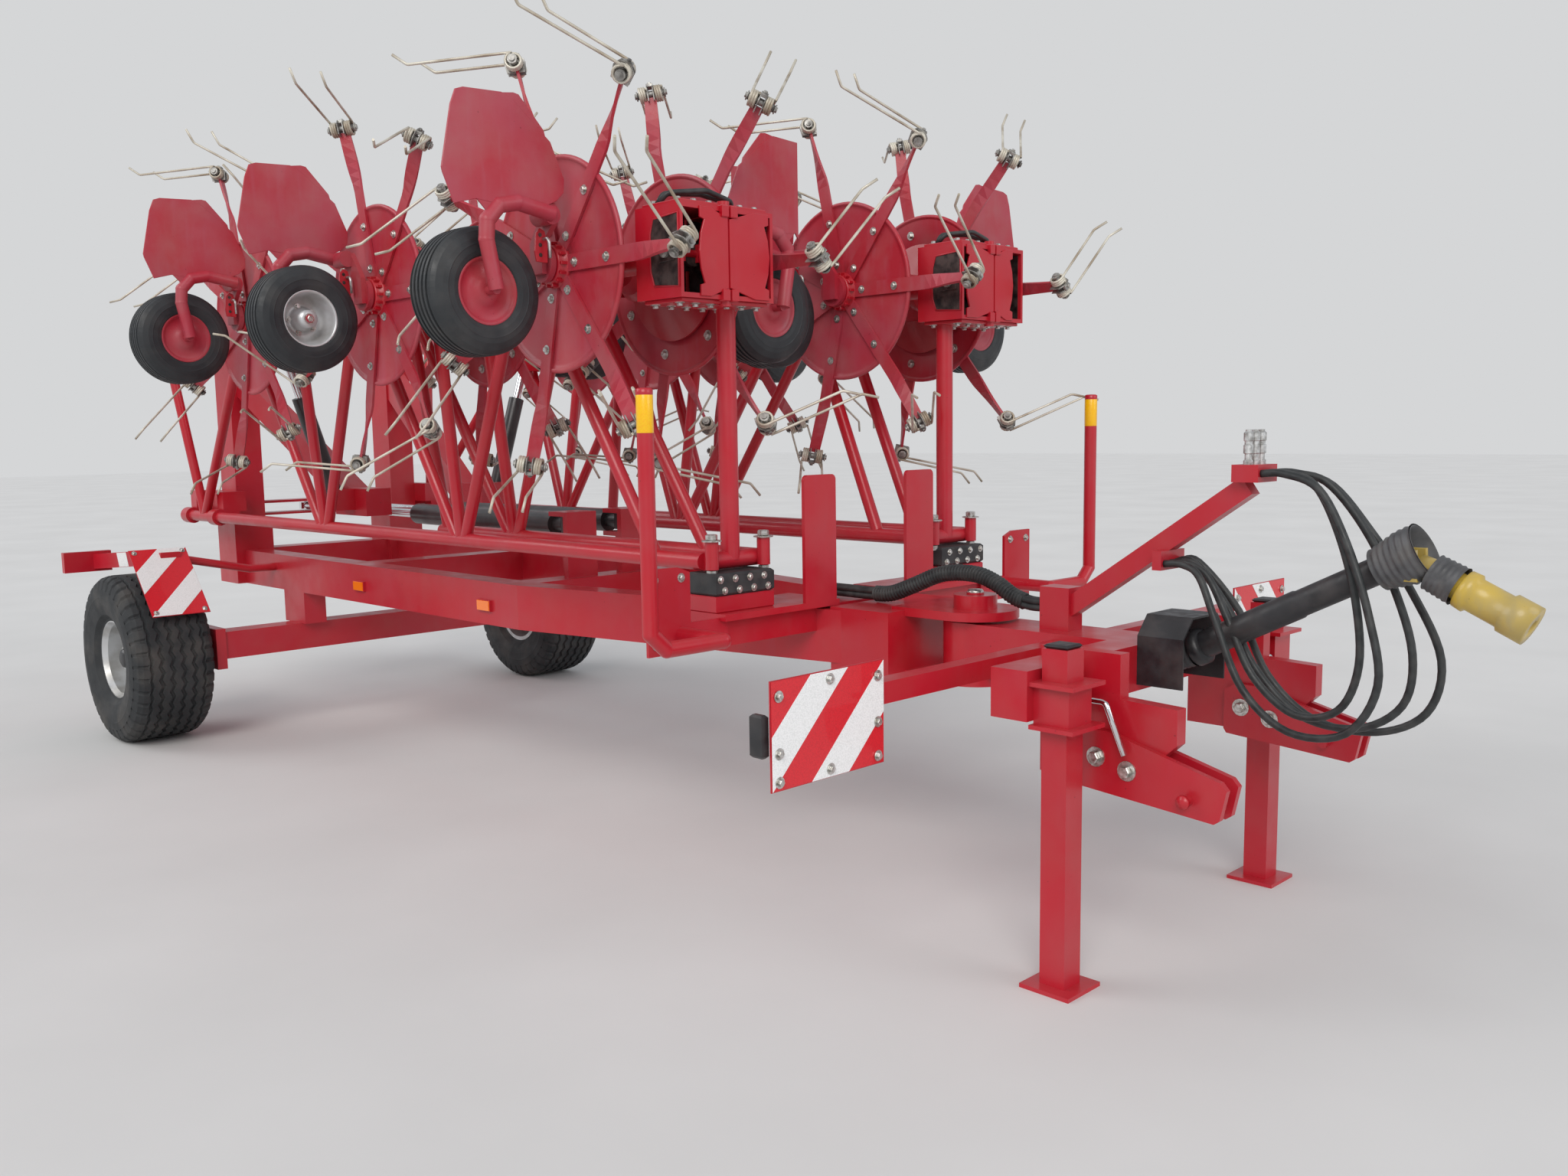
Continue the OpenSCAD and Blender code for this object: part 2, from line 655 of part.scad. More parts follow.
module tilt_rod() {
    v = tilt_lug - tilt_eye;
    u = v / norm(v);
    bar(tilt_eye + (tilt_barrel_len - 420) * u, tilt_lug, tilt_rod_d);
    bar(tilt_lug - [18, 0, 0], tilt_lug + [18, 0, 0], 66);
}

// Headstock, which turns about the steering pin

module headstock() {
    color(red) {
        translate([hinge_x, 0, 726]) cylinder(r = 110, h = 174);
        slab([hinge_x, -105, 726], [head_x - 60, 105, 900]);
        translate([hinge_x, 0, 680]) cylinder(r = 30, h = 314);
        slab([head_x - 60, -700, 760], [head_x + 60, 700, 900]);
        // Side plates down to the link arms
        for (side = [-1, 1]) sided(side) {
            translate([head_x, -link_y + ball_w / 2, 0]) rotate([90, 0, 0]) linear_extrude(ball_w) polygon([
                [-60, 560], [-60, 930], [200, 930], [200, 805], [374, 798], [374, 700], [310, 640], [240, 560]
            ]);
            // Sleeve of the stand with a flange at each end
            difference() {
                union() {
                    slab([head_x + 60, -stand_y - 56, 740], [head_x + 60 + 112, -stand_y + 56, 870]);
                    for (z = [740, 858])
                        slab([head_x + 60, -stand_y - 80, z], [head_x + 60 + 140, -stand_y + 80, z + 12]);
                }
                slab([head_x + 116 - stand_w / 2 - fit * 3, -stand_y - stand_w / 2 - fit * 3, 690],
                     [head_x + 116 + stand_w / 2 + fit * 3, -stand_y + stand_w / 2 + fit * 3, 890]);
            }
            // Lateral arm of the warning board
            slab([head_x - 260, -1130, 820], [head_x - 200, -100, 880]);
        }
    }
}

module link_arms() {
    color(red) for (side = [-1, 1]) sided(side) {
        for (y = [-link_y - ball_w / 2 - 20, -link_y + ball_w / 2])
            translate([0, y + 20, 0]) rotate([90, 0, 0]) linear_extrude(20)
                polygon([[head_x + 80, 560], [head_x + 80, 690], [head_x + 120, 713], [head_x + 180, 713],
                         [link_pin_x + 90, link_pin_z + 62], [link_pin_x + 108, link_pin_z + 42],
                         [link_pin_x + 90, link_pin_z - 40], [link_pin_x + 74, link_pin_z - 52],
                         [head_x + 90, 545]]);
        bar([link_pin_x, -link_y - 70, link_pin_z], [link_pin_x, -link_y + 70, link_pin_z], link_pin_d);
    }
}

module pto_guard() {
    // A shell of five flats on the cross beam's front, open to the front and below
    color(black) translate([head_x + 60, 0, 0]) rotate([90, 0, 90]) linear_extrude(150) difference() {
        polygon([[-130, 780], [-130, 930], [-75, 990], [75, 990], [130, 930], [130, 780]]);
        polygon([[-124, 770], [-124, 927.5], [-72.4, 984], [72.4, 984], [124, 927.5], [124, 770]]);
    }
}

module sphere_at(p, d) {
    translate(p) sphere(d = d, $fn = 32);
}

module pto_shaft() {
    u = (pto_joint - pto_rear) / norm(pto_joint - pto_rear);
    color(black) difference() {
        union() {
            bar(pto_rear, pto_rear + [120, 0, 0], 150);
            bar(pto_rear + [80, 0, 0], pto_joint, 84);
            // Ribbed bell over the joint, then the yoke that takes the tractor's shaft
            bar(pto_joint - 75 * u, pto_joint + 50 * u, 156);
            sphere_at(pto_joint + 50 * u, 120);
            bar(pto_joint + 40 * u, pto_end, 110);
        }
        bar(pto_end - pto_bore_len * pto_dir, pto_end + 10 * pto_dir, pto_bore_d);
    }
}

module board(x, y, z) {
    translate([x, y, z]) cube([4, 423, 282], center = true);
}

module front_markers() {
    color(red) for (side = [-1, 1]) sided(side) {
        board(head_x - 196, -1210, 805);
        slab([head_x - 262, -1250, 820], [head_x - 198, -1130, 880]);
        slab([head_x - 250, -1110, 760], [head_x - 210, -1050, 820]);
    }
}

module hose_carrier() {
    color(red) {
        slab([4740, -40, 900], [4850, 40, 1040]);
        box_beam([4800, 0, 950], [5430, 0, 1380], 50, 60);
        slab([5400, -60, 1390], [5480, 60, 1440]);
        // Clamp that holds the hoses under the carrier
        slab([5160, -70, 1122], [5190, 70, 1180]);
    }
}

module hose_couplers() {
    color(steel) for (y = [-40, 0, 40]) bar([5440, y, 1440], [5440, y, 1540], 28);
}

module stand() {
    color(red) {
        slab([head_x + 116 - stand_w / 2, -stand_y - stand_w / 2, 12],
             [head_x + 116 + stand_w / 2, -stand_y + stand_w / 2, stand_len]);
        slab([head_x + 116 - 80, -stand_y - 80, 0], [head_x + 116 + 80, -stand_y + 80, 12]);
    }
}

// Hoses and cables, each one tube swept along its own points

hose_sides = 10;
hose_d = 22;
conduit_d = 60;

// A point on the smooth curve through the route's points, between points i and i + 1.
function on_curve(p, i, t) =
    let (a = p[max(i - 1, 0)], b = p[i], c = p[i + 1], d = p[min(i + 2, len(p) - 1)])
    0.5 * (2 * b + (c - a) * t + (2 * a - 5 * b + 4 * c - d) * t * t + (3 * b - a - 3 * c + d) * t * t * t);
function curve(p, steps) = concat(
    [for (i = [0 : len(p) - 2], k = [0 : steps - 1]) on_curve(p, i, k / steps)], [p[len(p) - 1]]);
function unit(v) = v / norm(v);
function tangent(c, i) = unit(c[i + 1] - c[i - 1]);

// The routes stay near planes square to Y, so Y serves as the reference direction of every ring.
function ring(centre, t, r) =
    let (n = unit(cross(t, [0, 1, 0])), m = cross(t, n))
    [for (k = [0 : hose_sides - 1]) let (a = k * 360 / hose_sides) centre + r * (cos(a) * n + sin(a) * m)];

module hose(points, d, steps) {
    c = curve(points, steps);
    last = len(c) - 1;
    n = hose_sides;
    // The end faces stand square to the route's first and last straight stretch.
    polyhedron(
        points = concat(
            ring(c[0], unit(points[1] - points[0]), d / 2),
            [for (i = [1 : last - 1]) each ring(c[i], tangent(c, i), d / 2)],
            ring(c[last], unit(points[len(points) - 1] - points[len(points) - 2]), d / 2)
        ),
        faces = concat(
            [[for (k = [0 : n - 1]) n - 1 - k]],
            [for (i = [0 : last - 1], k = [0 : n - 1])
                [i * n + k, i * n + (k + 1) % n, (i + 1) * n + (k + 1) % n, (i + 1) * n + k]],
            [[for (k = [0 : n - 1]) last * n + k]]
        )
    );
}

CONDUIT = [[3750, -40, 961], [3900, -40, 961], [4030, -40, 961], [4110, -38, 968], [4200, -28, 1002],
           [4320, -10, 1050], [4450, 0, 1056], [4540, 0, 1030], [4610, 0, 992], [4680, 0, 975],
           [4739.7, 0, 975]];
LOOP_1 = [[5480.3, -40, 1415], [5545, -40, 1415], [5650, -52, 1375], [5738, -72, 1235], [5812, -92, 1045],
          [5845, -98, 860], [5765, -98, 718], [5605, -96, 698], [5465, -90, 800], [5375, -82, 985],
          [5310, -62, 1110], [5250, -50, 1142], [5190.3, -50, 1142]];
LOOP_2 = [[5480.3, 40, 1415], [5545, 40, 1415], [5645, 56, 1380], [5745, 86, 1250], [5850, 106, 1090],
          [5932, 110, 910], [5900, 108, 760], [5770, 104, 688], [5595, 98, 700], [5455, 92, 815],
          [5365, 82, 1000], [5250, 50, 1142], [5190.3, 50, 1142]];

// What is drawn

placed() main_frame();
placed() rear_axle();
placed() wing_rests();
placed() rest_pads();
placed() guard_posts();
placed() rear_markers();
placed() rim(-1);  // rim_right
placed() tyre(-1);  // tyre_right
placed() rim(1);  // rim_left
placed() tyre(1);  // tyre_left
for (side = [-1, 1]) {
    name = side < 0 ? "right" : "left";
    placed() color(red) sided(side) tower();
    placed() color(red) sided(side) wing_frame();
    placed() color(red) sided(side) wing_legs();
    placed() color(dark_red) sided(side) gear_housings();
    placed() color(red) sided(side) for (i = [0 : 4]) at_rotor(i) wheel_arm(i, stagger_of(i, side));
    placed() color(black) sided(side) swing_barrel();
    placed() color(steel) sided(side) swing_rod();
    placed() color(black) sided(side) tilt_barrel();
    placed() color(steel) sided(side) tilt_rod();
    for (i = [0 : 4]) {
        placed() rotor(i, side);
        placed() small_wheel(i, side);
    }
    placed() sided(side) stand();
}
placed() headstock();
placed() link_arms();
placed() pto_guard();
placed() pto_shaft();
placed() front_markers();
placed() hose_carrier();
placed() hose_couplers();
placed() color(black) hose(CONDUIT, conduit_d, 2);  // conduit
placed() color(black) hose(LOOP_1, hose_d, 3);  // hose_loop_1
placed() color(black) hose(LOOP_2, hose_d, 3);  // hose_loop_2
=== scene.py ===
import bpy
import bmesh
import json
from math import copysign, cos, pi, radians, sin, sqrt, tan
from mathutils import Matrix, Vector


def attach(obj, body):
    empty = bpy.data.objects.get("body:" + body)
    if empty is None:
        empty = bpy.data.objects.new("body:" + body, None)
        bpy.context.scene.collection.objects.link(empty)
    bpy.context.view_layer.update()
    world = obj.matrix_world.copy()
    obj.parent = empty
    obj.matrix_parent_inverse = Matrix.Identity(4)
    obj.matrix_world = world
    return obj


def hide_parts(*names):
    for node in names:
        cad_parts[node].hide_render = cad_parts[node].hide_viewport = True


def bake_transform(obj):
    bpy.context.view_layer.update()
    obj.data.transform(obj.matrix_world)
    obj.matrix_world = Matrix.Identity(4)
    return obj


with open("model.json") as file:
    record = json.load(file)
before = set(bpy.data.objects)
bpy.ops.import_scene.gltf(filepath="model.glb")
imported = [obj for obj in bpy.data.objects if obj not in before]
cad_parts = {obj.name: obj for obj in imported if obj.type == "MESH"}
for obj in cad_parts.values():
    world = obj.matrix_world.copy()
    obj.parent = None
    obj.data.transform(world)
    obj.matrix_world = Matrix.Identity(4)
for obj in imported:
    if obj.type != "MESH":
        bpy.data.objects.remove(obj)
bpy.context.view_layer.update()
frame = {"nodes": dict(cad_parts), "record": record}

# Sizes and places repeat those of the CAD source, in metres. Places count from the transport axle.
AXLE_X = -2.7523
MM = 0.001
TRACK = 2.44
TYRE_D = 0.87
TYRE_W = 0.4
RIM_D = 0.4
DISC_R = 0.36
ARMS = 7
ARM_R = 0.69
ARM_W = 0.055
ARM_T = 0.01
WIRE_D = 0.01
COIL_D = 0.062
TINE_REACH = 0.435
SHORT_REACH = 0.365
TINE_LEAN = radians(45)
TINE_DROP = 0.033
ARM_BEND = radians(6)
ARM_BEND_R = 0.465
ARM_TAPER_R = 0.45
ARM_TAPER = 0.022
ARM_BOLTS = (0.112, 0.285)
ROTOR_PITCH = 1.25
FRONT_ROTOR_X = 3.43
ROTOR_Z = 2.12
DISC_OUT_Y = 0.97
DISC_IN_Y = 0.45
SMALL_D = 0.41
SMALL_W = 0.165
SMALL_RIM_D = 0.212
SMALL_REACH = 0.32
SMALL_DROP = 0.11
SMALL_STAGGER = 0.11
# Fold hinge of each wing: its middle, and half the height of its boxes
HINGE_Y = 0.71
HINGE_HALF = 0.145
# Bent tube beside the wheel, and the crop plate in its plane: out from the disc, up from the rotor's axis
NECK_X = 0.1235
CROP_PLATE = [(0.461, 0.139), (0.385, 0.16), (0.3, 0.152), (0.23, 0.166), (0.156, 0.15), (0.085, 0.185),
              (0.056, 0.213), (0.052, 0.256), (0.101, 0.368), (0.229, 0.47), (0.25, 0.484), (0.278, 0.495),
              (0.415, 0.488), (0.442, 0.478), (0.461, 0.431), (0.5, 0.243), (0.497, 0.228)]
# Rotors of one wing: row (0 outer, 1 inner), steps back from the front rotor, side of the wheel's bent tube
ROTORS = [(0, 0, 1), (0, 1, -1), (0, 2, 1), (1, 0, 1), (1, 1, 1)]
SIDES = (("right", -1), ("left", 1))
# Directions, in the machine's frame or in a shape's own
AHEAD, UP, DOWN = (1, 0, 0), (0, 0, 1), (0, 0, -1)
move = Matrix.Translation


def place(x, y, z):
    """A place counted from the transport axle, in the model's frame."""
    return Vector((x + AXLE_X, y, z))


# Materials

class Nodes:
    """A material's node tree, with short calls for the nodes that the finishes share."""

    def __init__(self, name):
        self.material = bpy.data.materials.new(name)
        self.material.use_nodes = True
        self.tree = self.material.node_tree
        self.shader = self.tree.nodes["Principled BSDF"]
        self.coords = self.add("TexCoord").outputs["Object"]

    def add(self, kind):
        return self.tree.nodes.new("ShaderNode" + kind)

    def link(self, source, target):
        self.tree.links.new(source, target)

    def surface(self, colour, grain=None, stops=None):
        """Links the shader's colour and, for roughness, a ramp over grain."""
        self.link(colour, self.shader.inputs["Base Color"])
        if grain:
            self.link(self.ramp(grain, stops), self.shader.inputs["Roughness"])

    def noise(self, scale, detail=4.0, stretch=None):
        node = self.add("TexNoise")
        node.inputs["Scale"].default_value = scale
        node.inputs["Detail"].default_value = detail
        source = self.coords
        if stretch:
            mapping = self.add("Mapping")
            mapping.inputs["Scale"].default_value = stretch
            self.link(source, mapping.inputs["Vector"])
            source = mapping.outputs["Vector"]
        self.link(source, node.inputs["Vector"])
        return node.outputs["Fac"]

    def ramp(self, source, stops):
        """Turns a value into a colour or a grey by stops of (position, colour or grey)."""
        node = self.add("ValToRGB")
        ramp = node.color_ramp
        while len(ramp.elements) < len(stops):
            ramp.elements.new(0.5)
        for element, (position, colour) in zip(ramp.elements, stops):
            element.position = position
            grey = not hasattr(colour, "__len__")
            element.color = (colour, colour, colour, 1) if grey else (*colour, 1)
        self.link(source, node.inputs["Fac"])
        return node.outputs["Color"]

    def mix(self, factor, a, b):
        node = self.add("Mix")
        node.data_type = "RGBA"
        self.link(factor, node.inputs[0])
        for socket, value in ((node.inputs[6], a), (node.inputs[7], b)):
            if hasattr(value, "__len__"):
                socket.default_value = (*value, 1)
            else:
                self.link(value, socket)
        return node.outputs[2]

    def bump(self, source, strength, distance):
        node = self.add("Bump")
        node.inputs["Strength"].default_value = strength
        node.inputs["Distance"].default_value = distance
        self.link(source, node.inputs["Height"])
        self.link(node.outputs["Normal"], self.shader.inputs["Normal"])

    def scaled(self, source, factor):
        node = self.add("Math")
        node.operation = "MULTIPLY"
        self.link(source, node.inputs[0])
        node.inputs[1].default_value = factor
        return node.outputs[0]

    def facing_up(self):
        node = self.add("NewGeometry")
        part = self.add("SeparateXYZ")
        self.link(node.outputs["Normal"], part.inputs[0])
        return part.outputs["Z"]


def painted(name, colour, faded, dust, wear=0.5, coat=0.3, rough=(0.28, 0.5)):
    """Paint with faded patches, dust that gathers on top faces, small chips and a faint orange peel."""
    n = Nodes(name)
    patches = n.ramp(n.noise(3.2, 5), [(0.38, 0.0), (0.68, wear)])
    base = n.mix(patches, colour, faded)
    streaks = n.ramp(n.noise(26, 6, (1.0, 1.0, 0.18)), [(0.52, 0.0), (0.74, wear * 0.7)])
    base = n.mix(streaks, base, faded)
    grime = n.scaled(n.ramp(n.noise(7, 8), [(0.42, 0.0), (0.72, 1.0)]), 0.35 * wear)
    base = n.mix(grime, base, dust)
    top = n.ramp(n.facing_up(), [(0.6, 0.0), (1.0, 0.07)])
    base = n.mix(top, base, dust)
    chips = n.ramp(n.noise(90, 3), [(0.735, 0.0), (0.75, 0.8)])
    base = n.mix(chips, base, tuple(c * 0.35 for c in colour))
    n.surface(base, n.noise(9, 5), [(0.3, rough[0]), (0.75, rough[1])])
    n.shader.inputs["Coat Weight"].default_value = coat
    n.shader.inputs["Coat Roughness"].default_value = 0.18
    n.bump(n.noise(240, 2), 0.1, 0.0015)
    return n.material


def metal(name, light, dark, scale, rough=(0.3, 0.55), metallic=0.85, bump=0.1):
    """Bare or plated metal with darker stains."""
    n = Nodes(name)
    base = n.ramp(n.noise(scale, 7), [(0.34, dark), (0.62, light)])
    n.surface(base, n.noise(scale * 1.7, 5), [(0.3, rough[0]), (0.7, rough[1])])
    n.shader.inputs["Metallic"].default_value = metallic
    n.bump(n.noise(scale * 5, 4), bump, 0.001)
    return n.material


def matt(name, colour, other, scale, rough=(0.55, 0.85), bump=0.25, dust=None):
    """Rubber or plastic with a mottled colour and, when given, patches of dust."""
    n = Nodes(name)
    base = n.ramp(n.noise(scale, 6), [(0.35, colour), (0.7, other)])
    if dust:
        base = n.mix(n.ramp(n.noise(scale * 0.6, 8), [(0.48, 0.0), (0.8, 0.55)]), base, dust)
    n.surface(base, n.noise(scale * 2, 4), [(0.3, rough[0]), (0.7, rough[1])])
    n.bump(n.noise(scale * 14, 3), bump, 0.0012)
    return n.material


def glossy(name, colour, rough=0.12, coat=0.6):
    """A reflector or coloured lens with a fine prism grid."""
    n = Nodes(name)
    cells = n.add("TexVoronoi")
    cells.inputs["Scale"].default_value = 260
    n.link(n.coords, cells.inputs["Vector"])
    bright = tuple(min(1, c * 1.25) for c in colour)
    n.surface(n.ramp(cells.outputs["Distance"], [(0.0, bright), (0.8, colour)]))
    n.shader.inputs["Roughness"].default_value = rough
    n.shader.inputs["Coat Weight"].default_value = coat
    n.bump(cells.outputs["Distance"], 0.25, 0.0008)
    return n.material


RED_PAINT = (0.5, 0.004, 0.016)
FADED_RED = (0.47, 0.02, 0.045)
DUST = (0.34, 0.13, 0.11)
MATERIALS = {
    "frame_red": painted("frame_red_paint", RED_PAINT, FADED_RED, DUST, wear=0.35),
    "gearbox_red": painted("gearbox_red_paint", (0.36, 0.004, 0.014), (0.34, 0.018, 0.032), DUST, wear=0.45),
    "worn_red": painted("worn_red_paint", (0.44, 0.006, 0.022), (0.43, 0.055, 0.085), (0.38, 0.17, 0.16),
                        wear=0.8, coat=0.15, rough=(0.38, 0.62)),
    "rim": metal("rim_silver_paint", (0.66, 0.67, 0.68), (0.42, 0.41, 0.39), 9, (0.3, 0.5), 0.55, 0.05),
    "tyre": matt("tyre_rubber", (0.016, 0.018, 0.02), (0.034, 0.036, 0.038), 11, (0.6, 0.85), 0.2,
                 (0.13, 0.115, 0.1)),
    "small_tyre": matt("small_tyre_rubber", (0.014, 0.017, 0.02), (0.03, 0.033, 0.036), 14,
                       (0.42, 0.7), 0.12, (0.07, 0.065, 0.06)),
    "black_metal": painted("black_paint", (0.014, 0.015, 0.017), (0.05, 0.05, 0.052), (0.12, 0.1, 0.09),
                           wear=0.5, coat=0.2),
    "chrome_rod": metal("hard_chrome", (0.82, 0.83, 0.85), (0.62, 0.62, 0.63), 5, (0.06, 0.16), 1.0, 0.02),
    "rubber": matt("pad_rubber", (0.018, 0.019, 0.021), (0.045, 0.045, 0.046), 22, (0.5, 0.75), 0.2,
                   (0.1, 0.085, 0.075)),
    "guard_plastic": matt("guard_plastic", (0.014, 0.014, 0.016), (0.03, 0.03, 0.033), 16,
                          (0.34, 0.6), 0.15, (0.1, 0.085, 0.08)),
    "hose": matt("hose_rubber", (0.016, 0.018, 0.019), (0.04, 0.044, 0.044), 30, (0.38, 0.62), 0.1,
                 (0.09, 0.085, 0.08)),
    "coupler": metal("zinc_plate", (0.74, 0.74, 0.73), (0.34, 0.33, 0.31), 60),
    "tine_steel": metal("tine_steel", (0.72, 0.68, 0.58), (0.36, 0.29, 0.21), 9, (0.34, 0.55), 0.35, 0.1),
    "clamp_steel": metal("clamp_steel", (0.46, 0.45, 0.42), (0.15, 0.14, 0.13), 30, (0.35, 0.6), 0.6, 0.2),
    # Dark grease on the real joints and forks, and also painted shade: thin dark sheets inside the hinge
    # boxes and in their side recesses, and dark discs for the plates' holes
    "grease_and_shade": metal("greasy_joint_and_painted_shade", (0.085, 0.06, 0.055), (0.012, 0.01, 0.01), 30, (0.3, 0.6),
                         0.3, 0.3),
    "bolt": metal("bolt_zinc", (0.72, 0.72, 0.7), (0.38, 0.36, 0.32), 90, (0.25, 0.45), 0.9, 0.1),
    "ribbed_grey": matt("bell_rubber", (0.055, 0.055, 0.058), (0.11, 0.11, 0.115), 24, (0.4, 0.65), 0.2,
                        (0.17, 0.155, 0.14)),
    "yellow_cast": painted("yellow_paint", (0.62, 0.42, 0.045), (0.36, 0.3, 0.16), (0.24, 0.2, 0.15),
                           wear=0.9),
    "orange": glossy("orange_reflector", (1.0, 0.19, 0.006)),
    "white": glossy("white_reflective", (0.8, 0.81, 0.8), 0.3, 0.3),
    "red_film": glossy("red_reflective", (0.62, 0.01, 0.02), 0.3, 0.3),
    "red_lens": glossy("red_lens", (0.5, 0.004, 0.006)),
    "yellow_film": glossy("yellow_reflective", (1.0, 0.5, 0.0), 0.32, 0.3),
}


def dress_frame():
    """Gives every CAD node its procedural finish. The wheel arms are more worn than their slot says."""
    for row in frame["record"]["subparts"]:
        key = row["node"]
        finish = "worn_red" if key.startswith("wheel_arms") else row["material_slot"]
        for s in frame["nodes"][key].material_slots:
            s.material = MATERIALS[finish]


# Shapes

# Radius that stands in for a point on a revolved form's axis
AXIS_R = 1e-5


# A quarter turn about X, which lays a form's Z axis across the machine
QUARTER_X = Matrix.Rotation(radians(90), 4, "X")


def turn_to(point, direction):
    """A matrix whose Z axis points along direction, from point."""
    rotation = Vector(direction).normalized().to_track_quat("Z", "Y").to_matrix().to_4x4()
    return move(point) @ rotation


def ring(count, radius, start=0.0):
    """Points spread evenly round a circle."""
    turns = [start + 2 * pi * k / count for k in range(count)]
    return [(radius * cos(a), radius * sin(a)) for a in turns]


class Shape:
    """One mesh built up from revolved, swept and flat forms, each with its own finish."""

    def __init__(self, name, body, slot):
        self.name, self.body, self.slot = name, body, slot
        self.mesh = bmesh.new()
        self.finishes = []
        self.matrix = Matrix.Identity(4)

    def finish_index(self, finish):
        if finish not in self.finishes:
            self.finishes.append(finish)
        return self.finishes.index(finish)

    def grid(self, rows, finish, close_rows=False, close_columns=False, smooth=True):
        """Faces between rows of points, each row as long as the others."""
        index = self.finish_index(finish)
        verts = [[self.mesh.verts.new(self.matrix @ Vector(p)) for p in row] for row in rows]
        n, m = len(rows), len(rows[0])
        for i in range(n if close_rows else n - 1):
            for j in range(m if close_columns else m - 1):
                a, b = verts[i], verts[(i + 1) % n]
                k = (j + 1) % m
                face = self.mesh.faces.new((a[j], a[k], b[k], b[j]))
                face.material_index = index
                face.smooth = smooth
        return verts

    def close(self, verts, finish):
        """Flat faces over the first and the last ring of a swept form."""
        for ring in (list(reversed(verts[0])), verts[-1]):
            face = self.mesh.faces.new(ring)
            face.material_index = self.finish_index(finish)

    def lathe(self, profile, finish, matrix=Matrix.Identity(4), steps=48, closed=False, smooth=True):
        """Revolves a profile of (radius, height) about Z. Points on the axis become small rings."""
        rows = [[matrix @ Vector((x, y, z)) for x, y in ring(steps, max(r, AXIS_R))] for r, z in profile]
        self.grid(rows, finish, closed, True, smooth)

    def tube(self, points, radius, finish, sides=8):
        """Sweeps a circle along points, with radius a number or one for each point."""
        verts = self.grid(sweep(points, radius, sides), finish, False, True)
        self.close(verts, finish)

    def prism(self, outline, depth, finish, matrix=Matrix.Identity(4), bevel=0.0):
        """A flat plate: its outline in X and Y, from z = 0 up to depth, with small chamfers."""
        inner = shrink(outline, bevel) if bevel else outline
        levels = [(inner, 0.0), (outline, bevel), (outline, depth - bevel), (inner, depth)]
        if not bevel:
            levels = [levels[0], levels[-1]]
        rows = [[matrix @ Vector((x, y, z)) for x, y in points] for points, z in levels]
        self.close(self.grid(rows, finish, False, True, smooth=False), finish)

    def block(self, low, high, finish, bevel=0.002):
        outline = [(low[0], low[1]), (high[0], low[1]), (high[0], high[1]), (low[0], high[1])]
        matrix = move((0, 0, low[2]))
        self.prism(outline, high[2] - low[2], finish, matrix, bevel)

    def span(self, side, xs, ys, zs, finish, bevel=0.002):
        """A block between two places along each axis, on the right (-1) or left (1) of the machine."""
        y0, y1 = sorted((side * ys[0], side * ys[1]))
        self.block(place(xs[0], y0, zs[0]), place(xs[1], y1, zs[1]), finish, bevel)

    def bolt(self, point, direction, size=0.017, finish="bolt"):
        """A hexagon head with its washer, standing on point along direction."""
        m = turn_to(point, direction)
        washer_r, washer_h = size * 0.95, size * 0.12
        self.lathe([(0, 0), (washer_r, 0), (washer_r, washer_h), (0, washer_h)], finish, m, 16, smooth=False)
        self.prism(ring(6, size * 0.577), size * 0.55, finish, m @ move((0, 0, washer_h)), size * 0.08)

    def done(self, replaced=()):
        bmesh.ops.recalc_face_normals(self.mesh, faces=self.mesh.faces)
        data = bpy.data.meshes.new(self.name)
        self.mesh.to_mesh(data)
        self.mesh.free()
        for finish in self.finishes:
            data.materials.append(MATERIALS[finish])
        obj = bpy.data.objects.new(self.name, data)
        bpy.context.scene.collection.objects.link(obj)
        if self.body:
            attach(obj, self.body)
        if replaced:
            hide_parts(*replaced)
        return obj


def corners(width, height):
    """The corners of a rectangle about the origin."""
    return [(x * width / 2, y * height / 2) for x, y in ((-1, -1), (1, -1), (1, 1), (-1, 1))]


def shrink(outline, by):
    """The outline moved inwards by a distance, for a chamfer."""
    n = len(outline)
    ahead = outline[1:] + outline[:1]
    turn = 1 if sum(a[0] * b[1] - b[0] * a[1] for a, b in zip(outline, ahead)) > 0 else -1
    result = []
    for i in range(n):
        a, b, c = (Vector(outline[(i + k) % n]) for k in (-1, 0, 1))
        d1, d2 = (b - a).normalized(), (c - b).normalized()
        n1, n2 = Vector((-d1.y, d1.x)) * turn, Vector((-d2.y, d2.x)) * turn
        bisector = n1 + n2
        result.append(tuple(b + bisector * (by * 2 / max(bisector.length_squared, 0.5))))
    return result


def sweep(points, radius, sides):
    """Rings of a tube along points, turned as little as the path allows."""
    points = [Vector(p) for p in points]
    radii = radius if hasattr(radius, "__len__") else [radius] * len(points)
    rings, normal = [], None
    for i, p in enumerate(points):
        tangent = (points[min(i + 1, len(points) - 1)] - points[max(i - 1, 0)]).normalized()
        if normal is None:
            normal = tangent.orthogonal().normalized()
        normal = (normal - tangent * normal.dot(tangent)).normalized()
        across = tangent.cross(normal)
        rings.append([p + x * normal + y * across for x, y in ring(sides, radii[i])])
    return rings


def curve(route, steps):
    """The smooth curve through a route's points, as in the CAD source."""
    p = [Vector(q) for q in route]
    result = []
    for i in range(len(p) - 1):
        a, b, c, d = p[max(i - 1, 0)], p[i], p[i + 1], p[min(i + 2, len(p) - 1)]
        for k in range(steps):
            t = k / steps
            result.append(0.5 * (2 * b + (c - a) * t + (2 * a - 5 * b + 4 * c - d) * t * t
                                 + (3 * b - a - 3 * c + d) * t ** 3))
    result.append(p[-1])
    return result


